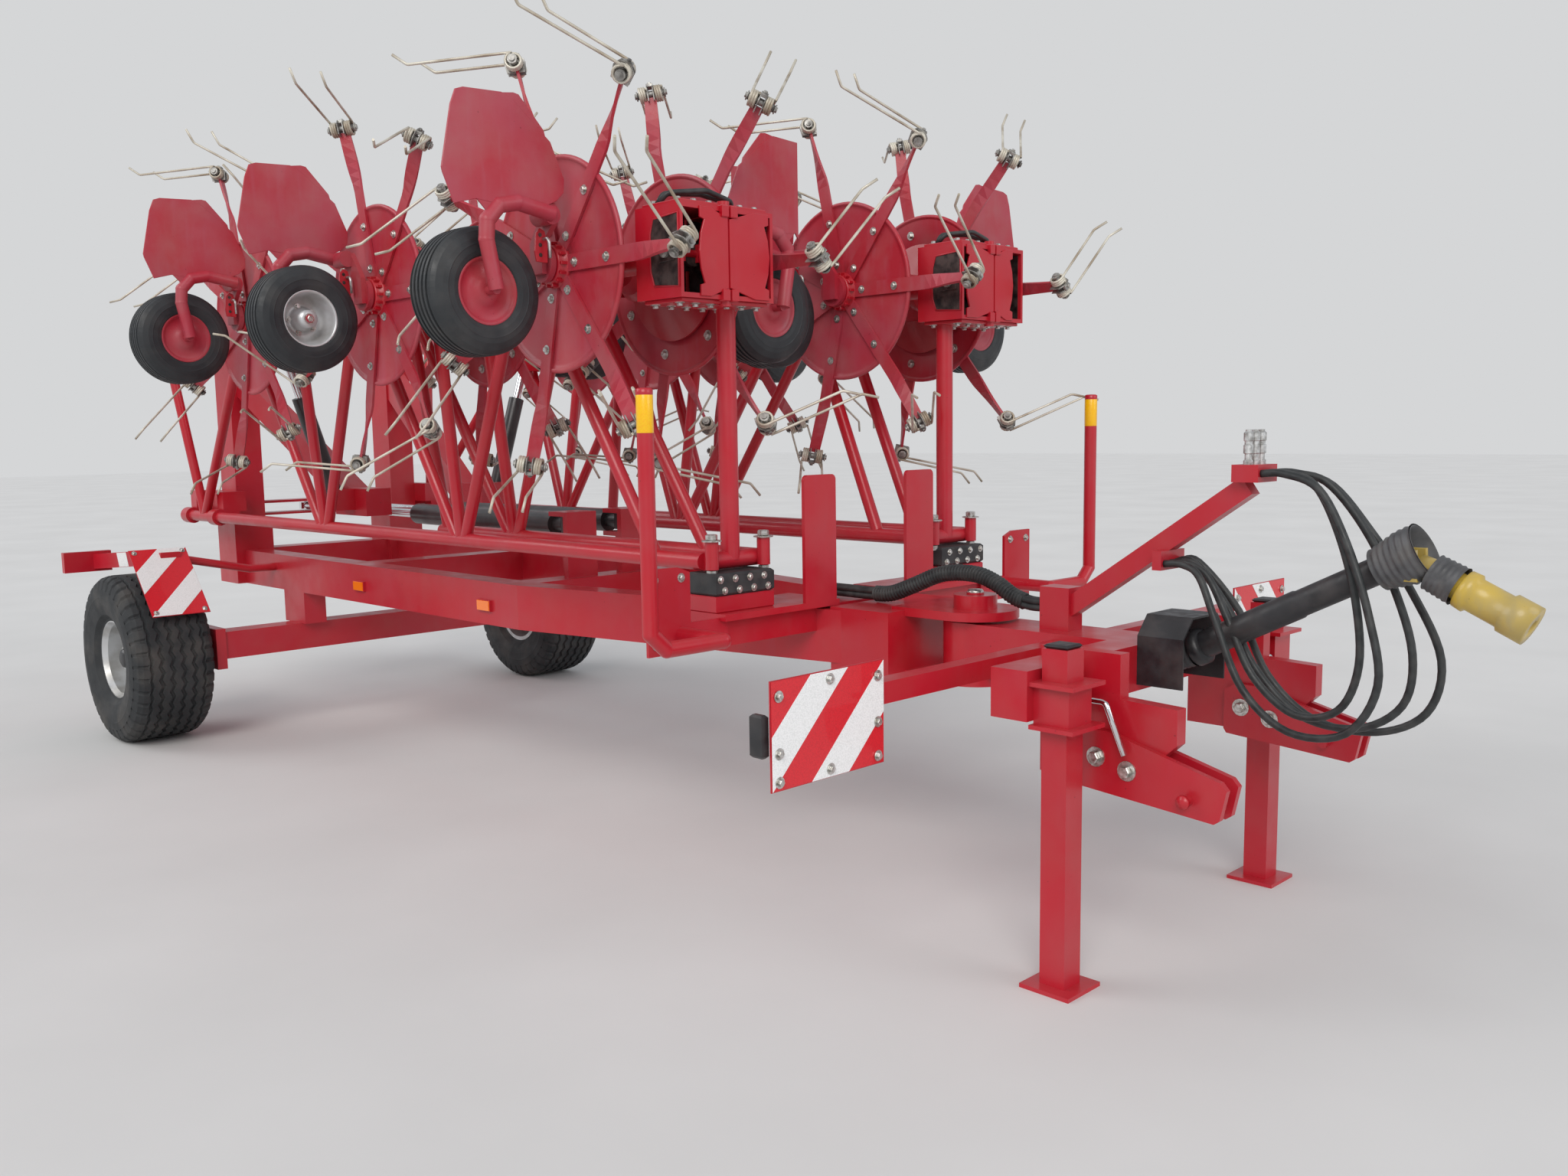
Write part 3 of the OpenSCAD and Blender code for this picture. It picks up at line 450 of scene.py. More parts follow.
def rounded(points, radius, steps=5):
    """A path through points whose corners are arcs."""
    p = [Vector(q) for q in points]
    result = [p[0]]
    for a, b, c in zip(p, p[1:], p[2:]):
        d1, d2 = (b - a).normalized(), (c - b).normalized()
        turn = d1.angle(d2, 0.0)
        cut = min(radius * tan(turn / 2), (b - a).length * 0.45, (c - b).length * 0.45)
        start, end = b - d1 * cut, b + d2 * cut
        for k in range(steps + 1):
            t = k / steps
            result.append(start * (1 - t) ** 2 + b * 2 * t * (1 - t) + end * t * t)
    result.append(p[-1])
    return result


# Camera, light and floor

CAMERA = Vector((7.171, -3.618, 1.558))
CAMERA_HEADING = 0.78
CAMERA_PITCH = 0.12
CAMERA_ROLL = -0.015
FOCAL_PIXELS = 1713
IMAGE_W = 2048


def make_camera():
    """The camera stands where a pinhole fitted to the photograph stands."""
    cp, sp = cos(CAMERA_PITCH), sin(CAMERA_PITCH)
    ahead = Vector((-cos(CAMERA_HEADING) * cp, sin(CAMERA_HEADING) * cp, -sp))
    right = Vector((sin(CAMERA_HEADING), cos(CAMERA_HEADING), 0))
    up = right.cross(ahead)
    c, s = cos(CAMERA_ROLL), sin(CAMERA_ROLL)
    right, up = right * c + up * s, up * c - right * s
    data = bpy.data.cameras.new("camera")
    data.lens = data.sensor_width * FOCAL_PIXELS / IMAGE_W
    data.clip_end = 100
    camera = bpy.data.objects.new("camera", data)
    bpy.context.scene.collection.objects.link(camera)
    rotation = Matrix((right, up, -ahead)).transposed().to_4x4()
    camera.matrix_world = move(CAMERA + Vector((AXLE_X, 0, 0))) @ rotation
    bpy.context.scene.camera = camera


def soft_light(name, location, target, power, colour=(1, 1, 1)):
    """A far, wide lamp, which lights the whole floor alike."""
    data = bpy.data.lights.new(name, "SUN")
    data.angle = radians(34)
    data.energy = power
    data.color = colour
    lamp = bpy.data.objects.new(name, data)
    bpy.context.scene.collection.objects.link(lamp)
    lamp.location = location
    direction = Vector(target) - Vector(location)
    lamp.rotation_euler = direction.to_track_quat("-Z", "Y").to_euler()


def make_stage():
    """A plain pale floor with soft light from a wide sky and three wide lamps."""
    n = Nodes("floor")
    n.surface(n.ramp(n.noise(0.8, 6), [(0.3, (0.66, 0.655, 0.645)), (0.7, (0.71, 0.705, 0.695))]))
    n.shader.inputs["Roughness"].default_value = 0.85
    size = 120
    data = bpy.data.meshes.new("floor")
    data.from_pydata([(x, y, 0) for x, y in corners(size, size)], [], [(0, 1, 2, 3)])
    data.materials.append(n.material)
    floor = bpy.data.objects.new("floor", data)
    bpy.context.scene.collection.objects.link(floor)
    world = bpy.data.worlds.new("sky")
    world.use_nodes = True
    tree = world.node_tree
    background = tree.nodes["Background"]
    background.inputs["Color"].default_value = (0.86, 0.89, 0.94, 1)
    background.inputs["Strength"].default_value = 0.55
    # Behind the object the sky is as pale as the floor
    backdrop = tree.nodes.new("ShaderNodeBackground")
    backdrop.inputs["Color"].default_value = (0.665, 0.672, 0.68, 1)
    rays = tree.nodes.new("ShaderNodeLightPath")
    mixed = tree.nodes.new("ShaderNodeMixShader")
    tree.links.new(rays.outputs["Is Camera Ray"], mixed.inputs["Fac"])
    tree.links.new(background.outputs[0], mixed.inputs[1])
    tree.links.new(backdrop.outputs[0], mixed.inputs[2])
    tree.links.new(mixed.outputs[0], tree.nodes["World Output"].inputs["Surface"])
    bpy.context.scene.world = world
    bpy.context.scene.view_settings.view_transform = "Standard"
    soft_light("key", (5.5, -7.5, 7.5), (0, 0, 1.2), 1.45, (1.0, 0.98, 0.95))
    soft_light("front", (8.5, 2.5, 4.5), (1, 0, 1.2), 0.55, (0.95, 0.97, 1.0))
    soft_light("rear", (-7, -5, 6.5), (-1, 0, 1.2), 0.7)


# Hoses and the conduit over the steering hinge

HOSE_D = 0.022
# Corrugated tube round the conduit's cables: mean radius, depth and distance of its waves
SLEEVE_R = 0.0265
WAVE = 0.003
WAVE_PITCH = 0.0125
CABLE_R = 0.0125
# Routes in millimetres from the transport axle, as in the CAD source
LOOP_1 = [(5480.3, -40, 1415), (5545, -40, 1415), (5650, -52, 1375), (5738, -72, 1235), (5812, -92, 1045),
          (5845, -98, 860), (5765, -98, 718), (5605, -96, 698), (5465, -90, 800), (5375, -82, 985),
          (5310, -62, 1110), (5250, -50, 1142), (5190.3, -50, 1142)]
LOOP_2 = [(5480.3, 40, 1415), (5545, 40, 1415), (5645, 56, 1380), (5745, 86, 1250), (5850, 106, 1090),
          (5932, 110, 910), (5900, 108, 760), (5770, 104, 688), (5595, 98, 700), (5455, 92, 815),
          (5365, 82, 1000), (5250, 50, 1142), (5190.3, 50, 1142)]
# Hoses that only the scene has, between the same bracket and the same clamp
LOOP_3 = [(5480.3, -14, 1415), (5540, -14, 1415), (5625, -20, 1385), (5700, -36, 1260), (5760, -52, 1080),
          (5778, -58, 900), (5725, -54, 770), (5600, -46, 738), (5470, -36, 830), (5385, -26, 985),
          (5315, -16, 1105), (5252, -14, 1142), (5190.3, -14, 1142)]
LOOP_4 = [(5480.3, 14, 1415), (5542, 14, 1415), (5640, 20, 1392), (5738, 34, 1275), (5822, 46, 1110),
          (5878, 48, 930), (5858, 46, 785), (5740, 40, 705), (5575, 36, 722), (5440, 30, 850),
          (5362, 24, 1010), (5252, 16, 1142), (5190.3, 16, 1142)]
CONDUIT = [(3750, -40, 961), (3900, -40, 961), (4030, -40, 961), (4110, -38, 968), (4200, -28, 1002),
           (4320, -10, 1050), (4450, 0, 1056), (4540, 0, 1030), (4610, 0, 992), (4680, 0, 975),
           (4739.7, 0, 975)]


def in_metres(route):
    return [place(x * MM, y * MM, z * MM) for x, y, z in route]


def free_hose(name, route, replaced=()):
    """A parked hydraulic hose: it leaves the coupler bracket, hangs in a loop and ends in the clamp."""
    points = curve(in_metres(route), 6)
    shape = Shape(name, "headstock", "hose")
    shape.tube(points, HOSE_D / 2, "hose", sides=14)
    hose = shape.done(replaced)


def make_conduit():
    """A bundle of cables that runs through a corrugated tube over the steering hinge."""
    shape = Shape("conduit_bundle", None, "hose")
    points = curve(in_metres(CONDUIT), 24)
    start, end = place(4.03, 0, 0).x, place(4.66, 0, 0).x
    sleeve = [p for p in points if start < p.x < end]
    dense, radii = [], []
    for a, b in zip(sleeve, sleeve[1:]):
        for t in (0.0, 0.25, 0.5, 0.75):
            dense.append(a.lerp(b, t))
    travelled = 0.0
    for i, p in enumerate(dense):
        travelled += (p - dense[i - 1]).length if i else 0.0
        radii.append(SLEEVE_R + WAVE * sin(2 * pi * travelled / WAVE_PITCH))
    shape.tube(dense, radii, "hose", sides=18)
    for y, z in ring(4, 0.0145, pi / 4):
        offset = Vector((0, y, z))
        shape.tube([p + offset for p in points[::4]], CABLE_R, "hose", sides=8)
    obj = shape.done()
    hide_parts("conduit")
    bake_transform(obj)


# Transport wheels

TREAD_PERIODS = 40
STEPS_PER_PERIOD = 8
# How far the ribs wander to each side, and the depth of the gaps between the shoulder blocks
ZIGZAG = 0.008
BLOCK_GAP = 0.01


def zigzag(angle):
    """A triangle wave from -1 to 1 round the tyre."""
    phase = (angle * TREAD_PERIODS / (2 * pi)) % 1.0
    return 4 * abs(phase - 0.5) - 1


def transport_tyre(hand, side):
    """Flotation tyre: zigzag ribs across the tread and blocks along both shoulders."""
    shape = Shape(f"tyre_{hand}_dressed", f"transport_wheel_{hand}", "tyre")
    shape.matrix = move(place(0, side * TRACK / 2, TYRE_D / 2)) @ QUARTER_X
    r, w = TYRE_D / 2 - 0.002, TYRE_W / 2
    groove, half_groove, edge = 0.011, 0.007, 0.0035
    seat = RIM_D / 2
    # Columns across the tyre: place along the axle, radius, share of the zigzag, share of the block
    half = [(w - 0.04, seat, 0, 0), (w - 0.036, seat + 0.012, 0, 0), (w - 0.014, seat + 0.035, 0, 0),
            (w - 0.004, r - 0.15, 0, 0), (w, r - 0.112, 0, 0), (w + 0.001, r - 0.108, 0, 0),
            (w, r - 0.104, 0, 0), (w - 0.003, r - 0.07, 0, 0), (w - 0.006, r - 0.062, 0, 1),
            (w - 0.016, r - 0.026, 0, 1), (w - 0.036, r - 0.008, 0, 1), (w - 0.058, r - 0.002, 0.4, 1),
            (w - 0.064, r - 0.002, 0.4, 0)]
    tread = [(w - 0.069, r - groove, 0.5, 0), (w - 0.075, r - groove, 0.6, 0), (w - 0.08, r, 0.8, 0)]
    for centre in (0.08, 0.027):
        tread += [(centre + half_groove + edge, r, 1, 0), (centre + half_groove, r - groove, 1, 0),
                  (centre - half_groove, r - groove, 1, 0), (centre - half_groove - edge, r, 1, 0)]
    near = half + tread
    columns = near + [(-y, radius, zig, block) for y, radius, zig, block in reversed(near)]
    steps = TREAD_PERIODS * STEPS_PER_PERIOD
    rows = []
    for k in range(steps):
        angle = 2 * pi * k / steps
        inside = (k % STEPS_PER_PERIOD) in (0, 1)
        row = []
        for y, radius, zig, block in columns:
            rr = radius - (BLOCK_GAP if block and inside else 0.0)
            yy = y + zig * ZIGZAG * zigzag(angle)
            row.append((rr * cos(angle), rr * sin(angle), yy))
        rows.append(row)
    shape.grid(rows, "tyre", close_rows=True, smooth=False)
    shape.lathe([(seat, w - 0.04), (seat, -w + 0.04)], "tyre", steps=96)
    shape.done((f"tyre_{hand}",))


def rim_fittings(hand, side):
    """Wheel nuts, hub cap and valve on a transport rim."""
    shape = Shape(f"rim_{hand}_fittings", f"transport_wheel_{hand}", "coupler")
    centre = place(0, side * TRACK / 2, TYRE_D / 2)
    out = Vector((0, side, 0))
    for x, z in ring(6, 0.084, radians(30)):
        shape.bolt(centre + Vector((x, 0, z)) + out * 0.042, out, 0.024)
    shape.lathe([(0, 0.022), (0.03, 0.02), (0.046, 0.012), (0.052, 0), (0.0, 0)], "black_metal",
                turn_to(centre + out * 0.11, out), 32)
    valve = centre + Vector((0.1, 0, -0.12)) + out * 0.03
    shape.tube([valve, valve + out * 0.035], 0.005, "rubber", 8)
    shape.done()


# Rotors

HUB_RIBS = 14
# Radius of the disc's rolled rim
ROLL_R = 0.009


def rotor_matrix(i, side):
    """The rotor's own frame, disc flat and underside down, in its place on a wing."""
    row, step, _ = ROTORS[i]
    y = DISC_IN_Y if row else DISC_OUT_Y
    x = FRONT_ROTOR_X - step * ROTOR_PITCH
    turn = Matrix.Rotation(radians(90 if row else -90), 4, "X")
    # Neighbouring rotors turn against each other, so their tines lean the other way
    lean = Matrix.Diagonal((1, -1 if (row + step) % 2 else 1, 1, 1))
    right = move(place(x, -y, ROTOR_Z)) @ turn @ lean
    return right if side < 0 else Matrix.Diagonal((1, -1, 1, 1)) @ right


def helix(start, end, turns, radius, phase):
    """A coil about the local Y axis, from y = start to y = end."""
    count = int(abs(turns) * 14)
    points = []
    for k in range(count + 1):
        t = k / count
        angle = phase + 2 * pi * turns * t
        points.append(Vector((radius * cos(angle), start + (end - start) * t, radius * sin(angle))))
    return points


def add_tine(shape, base):
    """A double coil with its two prongs, the clamp between them and the bolt through it."""
    saved = shape.matrix
    shape.matrix = saved @ base
    radius = COIL_D / 2 - WIRE_D / 2
    for s in (-1, 1):
        reach = TINE_REACH if s > 0 else SHORT_REACH
        coil = helix(s * 0.016, s * 0.042, 3 * s, radius, 0.0)
        low = COIL_D / 2 + 0.003 - reach
        knee = (radius + 0.02, s * 0.046, low + 0.05)
        tip = (radius + 0.062, s * 0.046, low + 0.006)
        prong = rounded([(radius, s * 0.042, 0.0), (radius + 0.002, s * 0.043, -0.03), knee, tip], 0.02, 3)
        shape.tube(coil[:-1] + prong, WIRE_D / 2, "tine_steel", 7)
    shape.tube([(0, -0.052, 0), (0, 0.052, 0)], 0.0125, "clamp_steel", 12)
    for s in (-1, 1):
        shape.lathe([(0, 0), (0.017, 0), (0.017, 0.004), (0.01, 0.0045), (0.01, 0.01), (0, 0.01)],
                    "clamp_steel", turn_to((0, s * 0.05, 0), (0, s, 0)), 12, smooth=False)
    # Folded clamp plate round the wire's bridge
    plate = [(-0.034, 0.03), (0.012, 0.034), (0.03, 0.016), (0.032, -0.02), (0.01, -0.036),
             (-0.03, -0.03)]
    for y in (-0.0085, 0.0125):
        shape.prism(plate, 0.004, "clamp_steel", move((0, y, 0)) @ QUARTER_X, 0.0008)
    shape.block((0.022, -0.012, -0.012), (0.034, 0.012, 0.02), "clamp_steel", 0.001)
    shape.bolt((0.034, 0, 0.004), AHEAD, 0.013, "clamp_steel")
    shape.matrix = saved


def twisted_arm(shape):
    """Flat bar that lies on the disc, then twists towards its coil."""
    rows = []
    stations = [(0.058, 0), (0.3, 0), (0.44, 0), (0.475, 0.14), (0.51, 0.41), (0.55, 0.68), (0.59, 0.86),
                (0.63, 0.95), (ARM_R - 0.016, 1)]
    for x, twist in stations:
        angle = -TINE_LEAN * twist
        width = ARM_W / 2 - max(0.0, x - ARM_TAPER_R) * ARM_TAPER
        drop = -ARM_T / 2 - max(0.0, x - ARM_BEND_R) * tan(ARM_BEND)
        ring = []
        for y, z in ((-1, -1), (1, -1), (1, 1), (-1, 1)):
            yy, zz = y * width, z * ARM_T / 2
            ring.append((x, yy * cos(angle) - zz * sin(angle),
                         drop + yy * sin(angle) + zz * cos(angle)))
        rows.append(ring)
    shape.close(shape.grid(rows, "worn_red", False, True, smooth=False), "worn_red")


def make_rotor(i, hand, side):
    """Pressed disc with rolled rim, ribbed hub, seven twisted arms with bolts and double tines."""
    name = f"rotor_{hand}_{i + 1}"
    shape = Shape(name + "_dressed", name, "frame_red")
    own = rotor_matrix(i, side)
    shape.matrix = own
    r = DISC_R - ROLL_R
    roll = [radians(a) for a in range(-160, 161, 32)]
    rolled = [(r + ROLL_R * cos(a), 0.0025 + ROLL_R * sin(a)) for a in roll]
    flat = [(0.04, 0.0), (0.128, 0.0), (0.134, 0.0015), (r - 0.03, 0.0015), (r - 0.022, 0.0)]
    back = [(r - 0.012, 0.005), (0.04, 0.005)]
    shape.lathe(flat + rolled + back, "worn_red", steps=72, closed=True)
    shape.lathe([(0.0401, -0.04), (0.062, -0.04), (0.066, -0.036), (0.066, -0.016), (0.078, -0.011),
                 (0.078, 0.0)], "frame_red", steps=36)
    for k in range(HUB_RIBS):
        angle = radians(360 / HUB_RIBS * k)
        spoke = Vector((cos(angle), sin(angle), 0))
        m = move(spoke * 0.07 + Vector((0, 0, -0.036))) @ Matrix.Rotation(angle, 4, "Z")
        shape.prism([(-0.01, -0.005), (0.006, -0.005), (0.006, 0.005), (-0.01, 0.005)], 0.026,
                    "frame_red", m, 0.0012)
    for k in range(ARMS):
        shape.matrix = own @ Matrix.Rotation(2 * pi * k / ARMS, 4, "Z")
        twisted_arm(shape)
        for x in ARM_BOLTS:
            shape.bolt((x, 0, -ARM_T), DOWN, 0.017)
        shape.bolt((ARM_BOLTS[1], 0, 0.0052), UP, 0.02)
        add_tine(shape, move((ARM_R, 0, -TINE_DROP)) @ Matrix.Rotation(-TINE_LEAN, 4, "X"))
    shape.done((name,))


# Rotor wheels

# How much lower the tread is at its edges than in its middle
CROWN = 0.003


def wheel_place(i, side):
    """How far a rotor's wheel is set forwards, and on which side of it the bent tube stands."""
    row, _, neck = ROTORS[i]
    stagger = -side * SMALL_STAGGER if row else 0.0
    return stagger, neck * (1 if stagger == 0 else copysign(1, stagger))


def make_small_wheel(i, hand, side):
    """Ribbed tyre on a rim that is covered on the bent tube's side and dished on the other."""
    name = f"wheel_{hand}_{i + 1}"
    row, step, _ = ROTORS[i]
    stagger, neck_side = wheel_place(i, side)
    y = DISC_IN_Y - SMALL_REACH if row else DISC_OUT_Y + SMALL_REACH
    centre = place(FRONT_ROTOR_X - step * ROTOR_PITCH + stagger, side * y, ROTOR_Z - SMALL_DROP)
    shape = Shape(name + "_dressed", name, "tyre")
    shape.matrix = turn_to(centre, (neck_side, 0, 0))
    r, w, rim = SMALL_D / 2, SMALL_W / 2, SMALL_RIM_D / 2
    wall = [(rim, 0.01), (rim + 0.006, 0.004), (rim + 0.02, 0.001), (r - 0.06, 0.0), (r - 0.057, -0.0008),
            (r - 0.054, 0.0), (r - 0.04, 0.002), (r - 0.018, 0.01), (r - 0.006, 0.022)]
    ribs = []
    half_tread, grooves = w - 0.026, 5
    for k in range(grooves):
        y0 = half_tread * (1 - 2 * (k + 0.5) / grooves)
        ribs += [(0.0, y0 + 0.0058), (-0.006, y0 + 0.0045), (-0.006, y0 - 0.0045), (0.0, y0 - 0.0058)]
    crown = [(r - 0.0006 - CROWN * (y0 / w) ** 2 + d, y0) for d, y0 in ribs]
    near = [(rr, w - inset) for rr, inset in wall]
    far = [(rr, inset - w) for rr, inset in reversed(wall)]
    shape.lathe(near + crown + far, "small_tyre", steps=64, smooth=False)
    # Rim: flat cover with a raised edge, then the open dish with its hub
    shape.lathe([(rim + 0.002, w - 0.008), (rim - 0.004, w - 0.006), (rim - 0.01, w - 0.012),
                 (rim - 0.016, w - 0.016), (0.046, w - 0.014), (0.04, w - 0.004), (0.0151, w - 0.004)],
                "worn_red", steps=48)
    shape.lathe([(rim + 0.002, -w + 0.008), (rim, -w + 0.006), (rim - 0.006, -w + 0.012),
                 (rim - 0.01, -w + 0.03), (rim - 0.022, -0.01), (0.062, 0.006), (0.046, 0.002),
                 (0.04, -0.02), (0.034, -0.022), (0.034, -0.06), (0.0151, -0.06)], "rim", steps=48)
    for x, y in ring(5, 0.052):
        shape.bolt((x, y, 0.003), DOWN, 0.013)
    shape.bolt((0, 0, -0.06), DOWN, 0.022)
    shape.done((name,))


# Boards, lamps and reflectors

def striped_board(shape, matrix, width, height, bands, lean):
    """Diagonal bands clipped to a board: lean 1 rises to the right, -1 to the left."""
    shape.prism(corners(width, height), 0.0012, "red_film", matrix, 0.0003)
    reach = (width + height) / sqrt(2)
    step = reach / bands
    axis = Vector((1, -lean)).normalized()
    for k in range(1, bands, 2):
        low, high = -reach / 2 + k * step, -reach / 2 + (k + 1) * step
        outline = clip_band(width, height, axis, low, high)
        shape.prism(outline, 0.0012, "white", matrix @ move((0, 0, 0.0013)), 0.0002)


def clip_band(width, height, axis, low, high):
    """The part of a rectangle that lies between two lines square to axis."""
    points = [Vector(q) for q in corners(width, height)]
    for limit, sign in ((low, 1), (high, -1)):
        kept = []
        for a, b in zip(points, points[1:] + points[:1]):
            da, db = (a.dot(axis) - limit) * sign, (b.dot(axis) - limit) * sign
            if da >= 0:
                kept.append(a)
            if da * db < 0:
                kept.append(a.lerp(b, da / (da - db)))
        points = kept
    return [tuple(p) for p in points]


BOARD_W = 0.423
BOARD_H = 0.282


def front_boards():
    """Striped film, bolts and a lamp on each front warning board."""
    for hand, side in SIDES:
        shape = Shape(f"front_board_{hand}", "headstock", "frame_red")
        centre = place(4.8965, side * 1.21, 0.805)
        matrix = move(centre) @ Matrix.Rotation(radians(90), 4, "Z") @ QUARTER_X
        striped_board(shape, matrix, BOARD_W - 0.004, BOARD_H - 0.004, 5, -side)
        for x, y in ((-0.185, 0.1), (0.0, 0.118), (0.185, 0.1), (-0.185, -0.045), (0.185, -0.025),
                     (0.0, -0.118), (0.185, -0.118), (-0.185, -0.118)):
            shape.bolt(matrix @ Vector((x, y, 0.0024)), AHEAD, 0.016)
        lamp = centre + Vector((-0.035, side * 0.218, 0.0))
        half = Vector((0.022, 0.012, 0.055))
        shape.block(lamp - half, lamp + half, "guard_plastic", 0.006)
        shape.done()


def rear_boards():
    """Striped film on the rear boards, white bands on the arms and the round rear reflectors."""
    z = TYRE_D + 0.03
    up = Vector(UP)
    for hand, side in SIDES:
        shape = Shape(f"rear_board_{hand}", "chassis", "frame_red")
        tilt = Matrix.Rotation(radians(48), 4, "Y")
        matrix = move(place(0.27, side * 1.18, z - 0.06)) @ tilt
        face = matrix @ move((0, 0, 0.0021))
        striped_board(shape, face, BOARD_W - 0.003, BOARD_H - 0.003, 5, side)
        for x, y in ((-0.19, 0.118), (0.19, -0.118), (-0.19, -0.118), (0.19, 0.118)):
            shape.bolt(matrix @ Vector((x, y, 0.0045)), matrix.to_3x3() @ up, 0.014)
        # White bands along the arm over the tyre
        start, end = place(0.07, side * 1.12, z + 0.05), place(-0.58, side * 1.254, z - 0.002)
        along = (end - start).normalized()
        across = along.cross(up).normalized() * side
        axes = Matrix((along, up, across)).transposed().to_4x4()
        band = [(-0.045, -0.038), (0.045, -0.038), (0.065, 0.038), (-0.025, 0.038)]
        for distance in (0.16, 0.36):
            m = move(start + along * distance + across * 0.0202) @ axes
            shape.prism(band, 0.0012, "white", m)
        shape.lathe([(0, 0), (0.036, 0), (0.04, 0.004), (0.036, 0.01), (0, 0.01)], "red_lens",
                    turn_to(place(-0.61, side * 1.36, z), (-1, 0, 0)), 24)
        shape.span(side, (-0.6145, -0.61), (1.19, 1.31), (z - 0.045, z + 0.045), "orange", 0.001)
        for x in (1.003, 2.153):
            shape.span(side, (x, x + 0.094), (0.5485, 0.5565), (0.793, 0.837), "orange", 0.0015)
        shape.done()


def guard_bands():
    """Yellow film round the top of each guard post, and its cap."""
    for hand, side in SIDES:
        shape = Shape(f"guard_band_{hand}", "chassis", "frame_red")
        band, cap_top = 0.11, 0.131
        m = turn_to(place(4.15, side * 1.19, 1.68 - 0.125), UP)
        shape.lathe([(0.0252, 0), (0.0256, 0.001), (0.0256, 0.109), (0.0252, band)], "yellow_film", m, 32)
        shape.lathe([(0.0252, band), (0.0258, 0.112), (0.0258, 0.126), (0.02, 0.13), (0, cap_top)],
                    "frame_red", m, 32)
        shape.done()


# Rests, wheel arms and other plates

# Front faces of the rest pads, and the middle of the wings' front cross tubes
PAD_X = 3.936
CROSS_TUBE_X = 3.89


def rest_pad(hand, side):
    """A rubber strip on its red carrier, still open for its bolts."""
    shape = Shape(f"rest_pad_{hand}", "chassis", "rubber")
    across = (0.465, 0.735)
    shape.span(side, (3.79, PAD_X - 0.002), across, (0.952, 1.008), "frame_red", 0.004)
    shape.span(side, (3.79, PAD_X), across, (1.0085, 1.084), "rubber", 0.008)
    return shape


def facing_front(x, y, side):
    """A plane across the machine: its X runs sideways from y, its Y up from the rotors' height."""
    axes = Matrix(((0, 0, 1, 0), (side, 0, 0, 0), (0, 1, 0, 0), (0, 0, 0, 1)))
    return move(place(x, y, ROTOR_Z)) @ axes


def deflector(i, hand, side):
    """The crop plate over a rotor's wheel, and the plate with holes, drawn as discs of painted shade, and a
    bent pin at its hub.
    """
    row, step, _ = ROTORS[i]
    stagger, front = wheel_place(i, side)
    shape = Shape(f"crop_plate_{hand}_{i + 1}", f"wing_{hand}", "frame_red")
    away = -side if row else side
    base_y = side * (DISC_IN_Y if row else DISC_OUT_Y)
    x = FRONT_ROTOR_X - step * ROTOR_PITCH + stagger + front * NECK_X
    # The inner rotors' plates are cut back, so that the two sides' plates don't meet
    reach = 0.4 if row else 0.5
    outline = [(min(out, reach), up) for out, up in CROP_PLATE]
    shape.prism(outline, 0.007, "worn_red", facing_front(x - 0.001, base_y, away), 0.0012)
    # Plate with holes that are dark discs of painted shade, and the bent pin that sets the lever
    holes = facing_front(x - 0.062 * front, base_y, away)
    shape.prism([(0.086, -0.006), (0.128, -0.004), (0.134, 0.03), (0.128, 0.086), (0.112, 0.104),
                 (0.094, 0.096), (0.084, 0.06)], 0.008, "frame_red", holes, 0.001)
    for up in (0.018, 0.05, 0.082):
        for level in (-0.0006, 0.0074):
            shape.lathe([(0, 0), (0.007, 0), (0.007, 0.0012), (0, 0.0012)], "grease_and_shade",
                        holes @ move((0.113, up, level)), 12, smooth=False)
    pin = [holes @ Vector((0.1, y, z)) for y, z in ((0.07, -0.012), (0.07, 0.032), (0.058, 0.04),
                                                      (0.006, 0.044))]
    shape.tube(rounded(pin, 0.012, 4), 0.0055, "coupler", 10)
    shape.done()


# Bolts and fittings along the machine

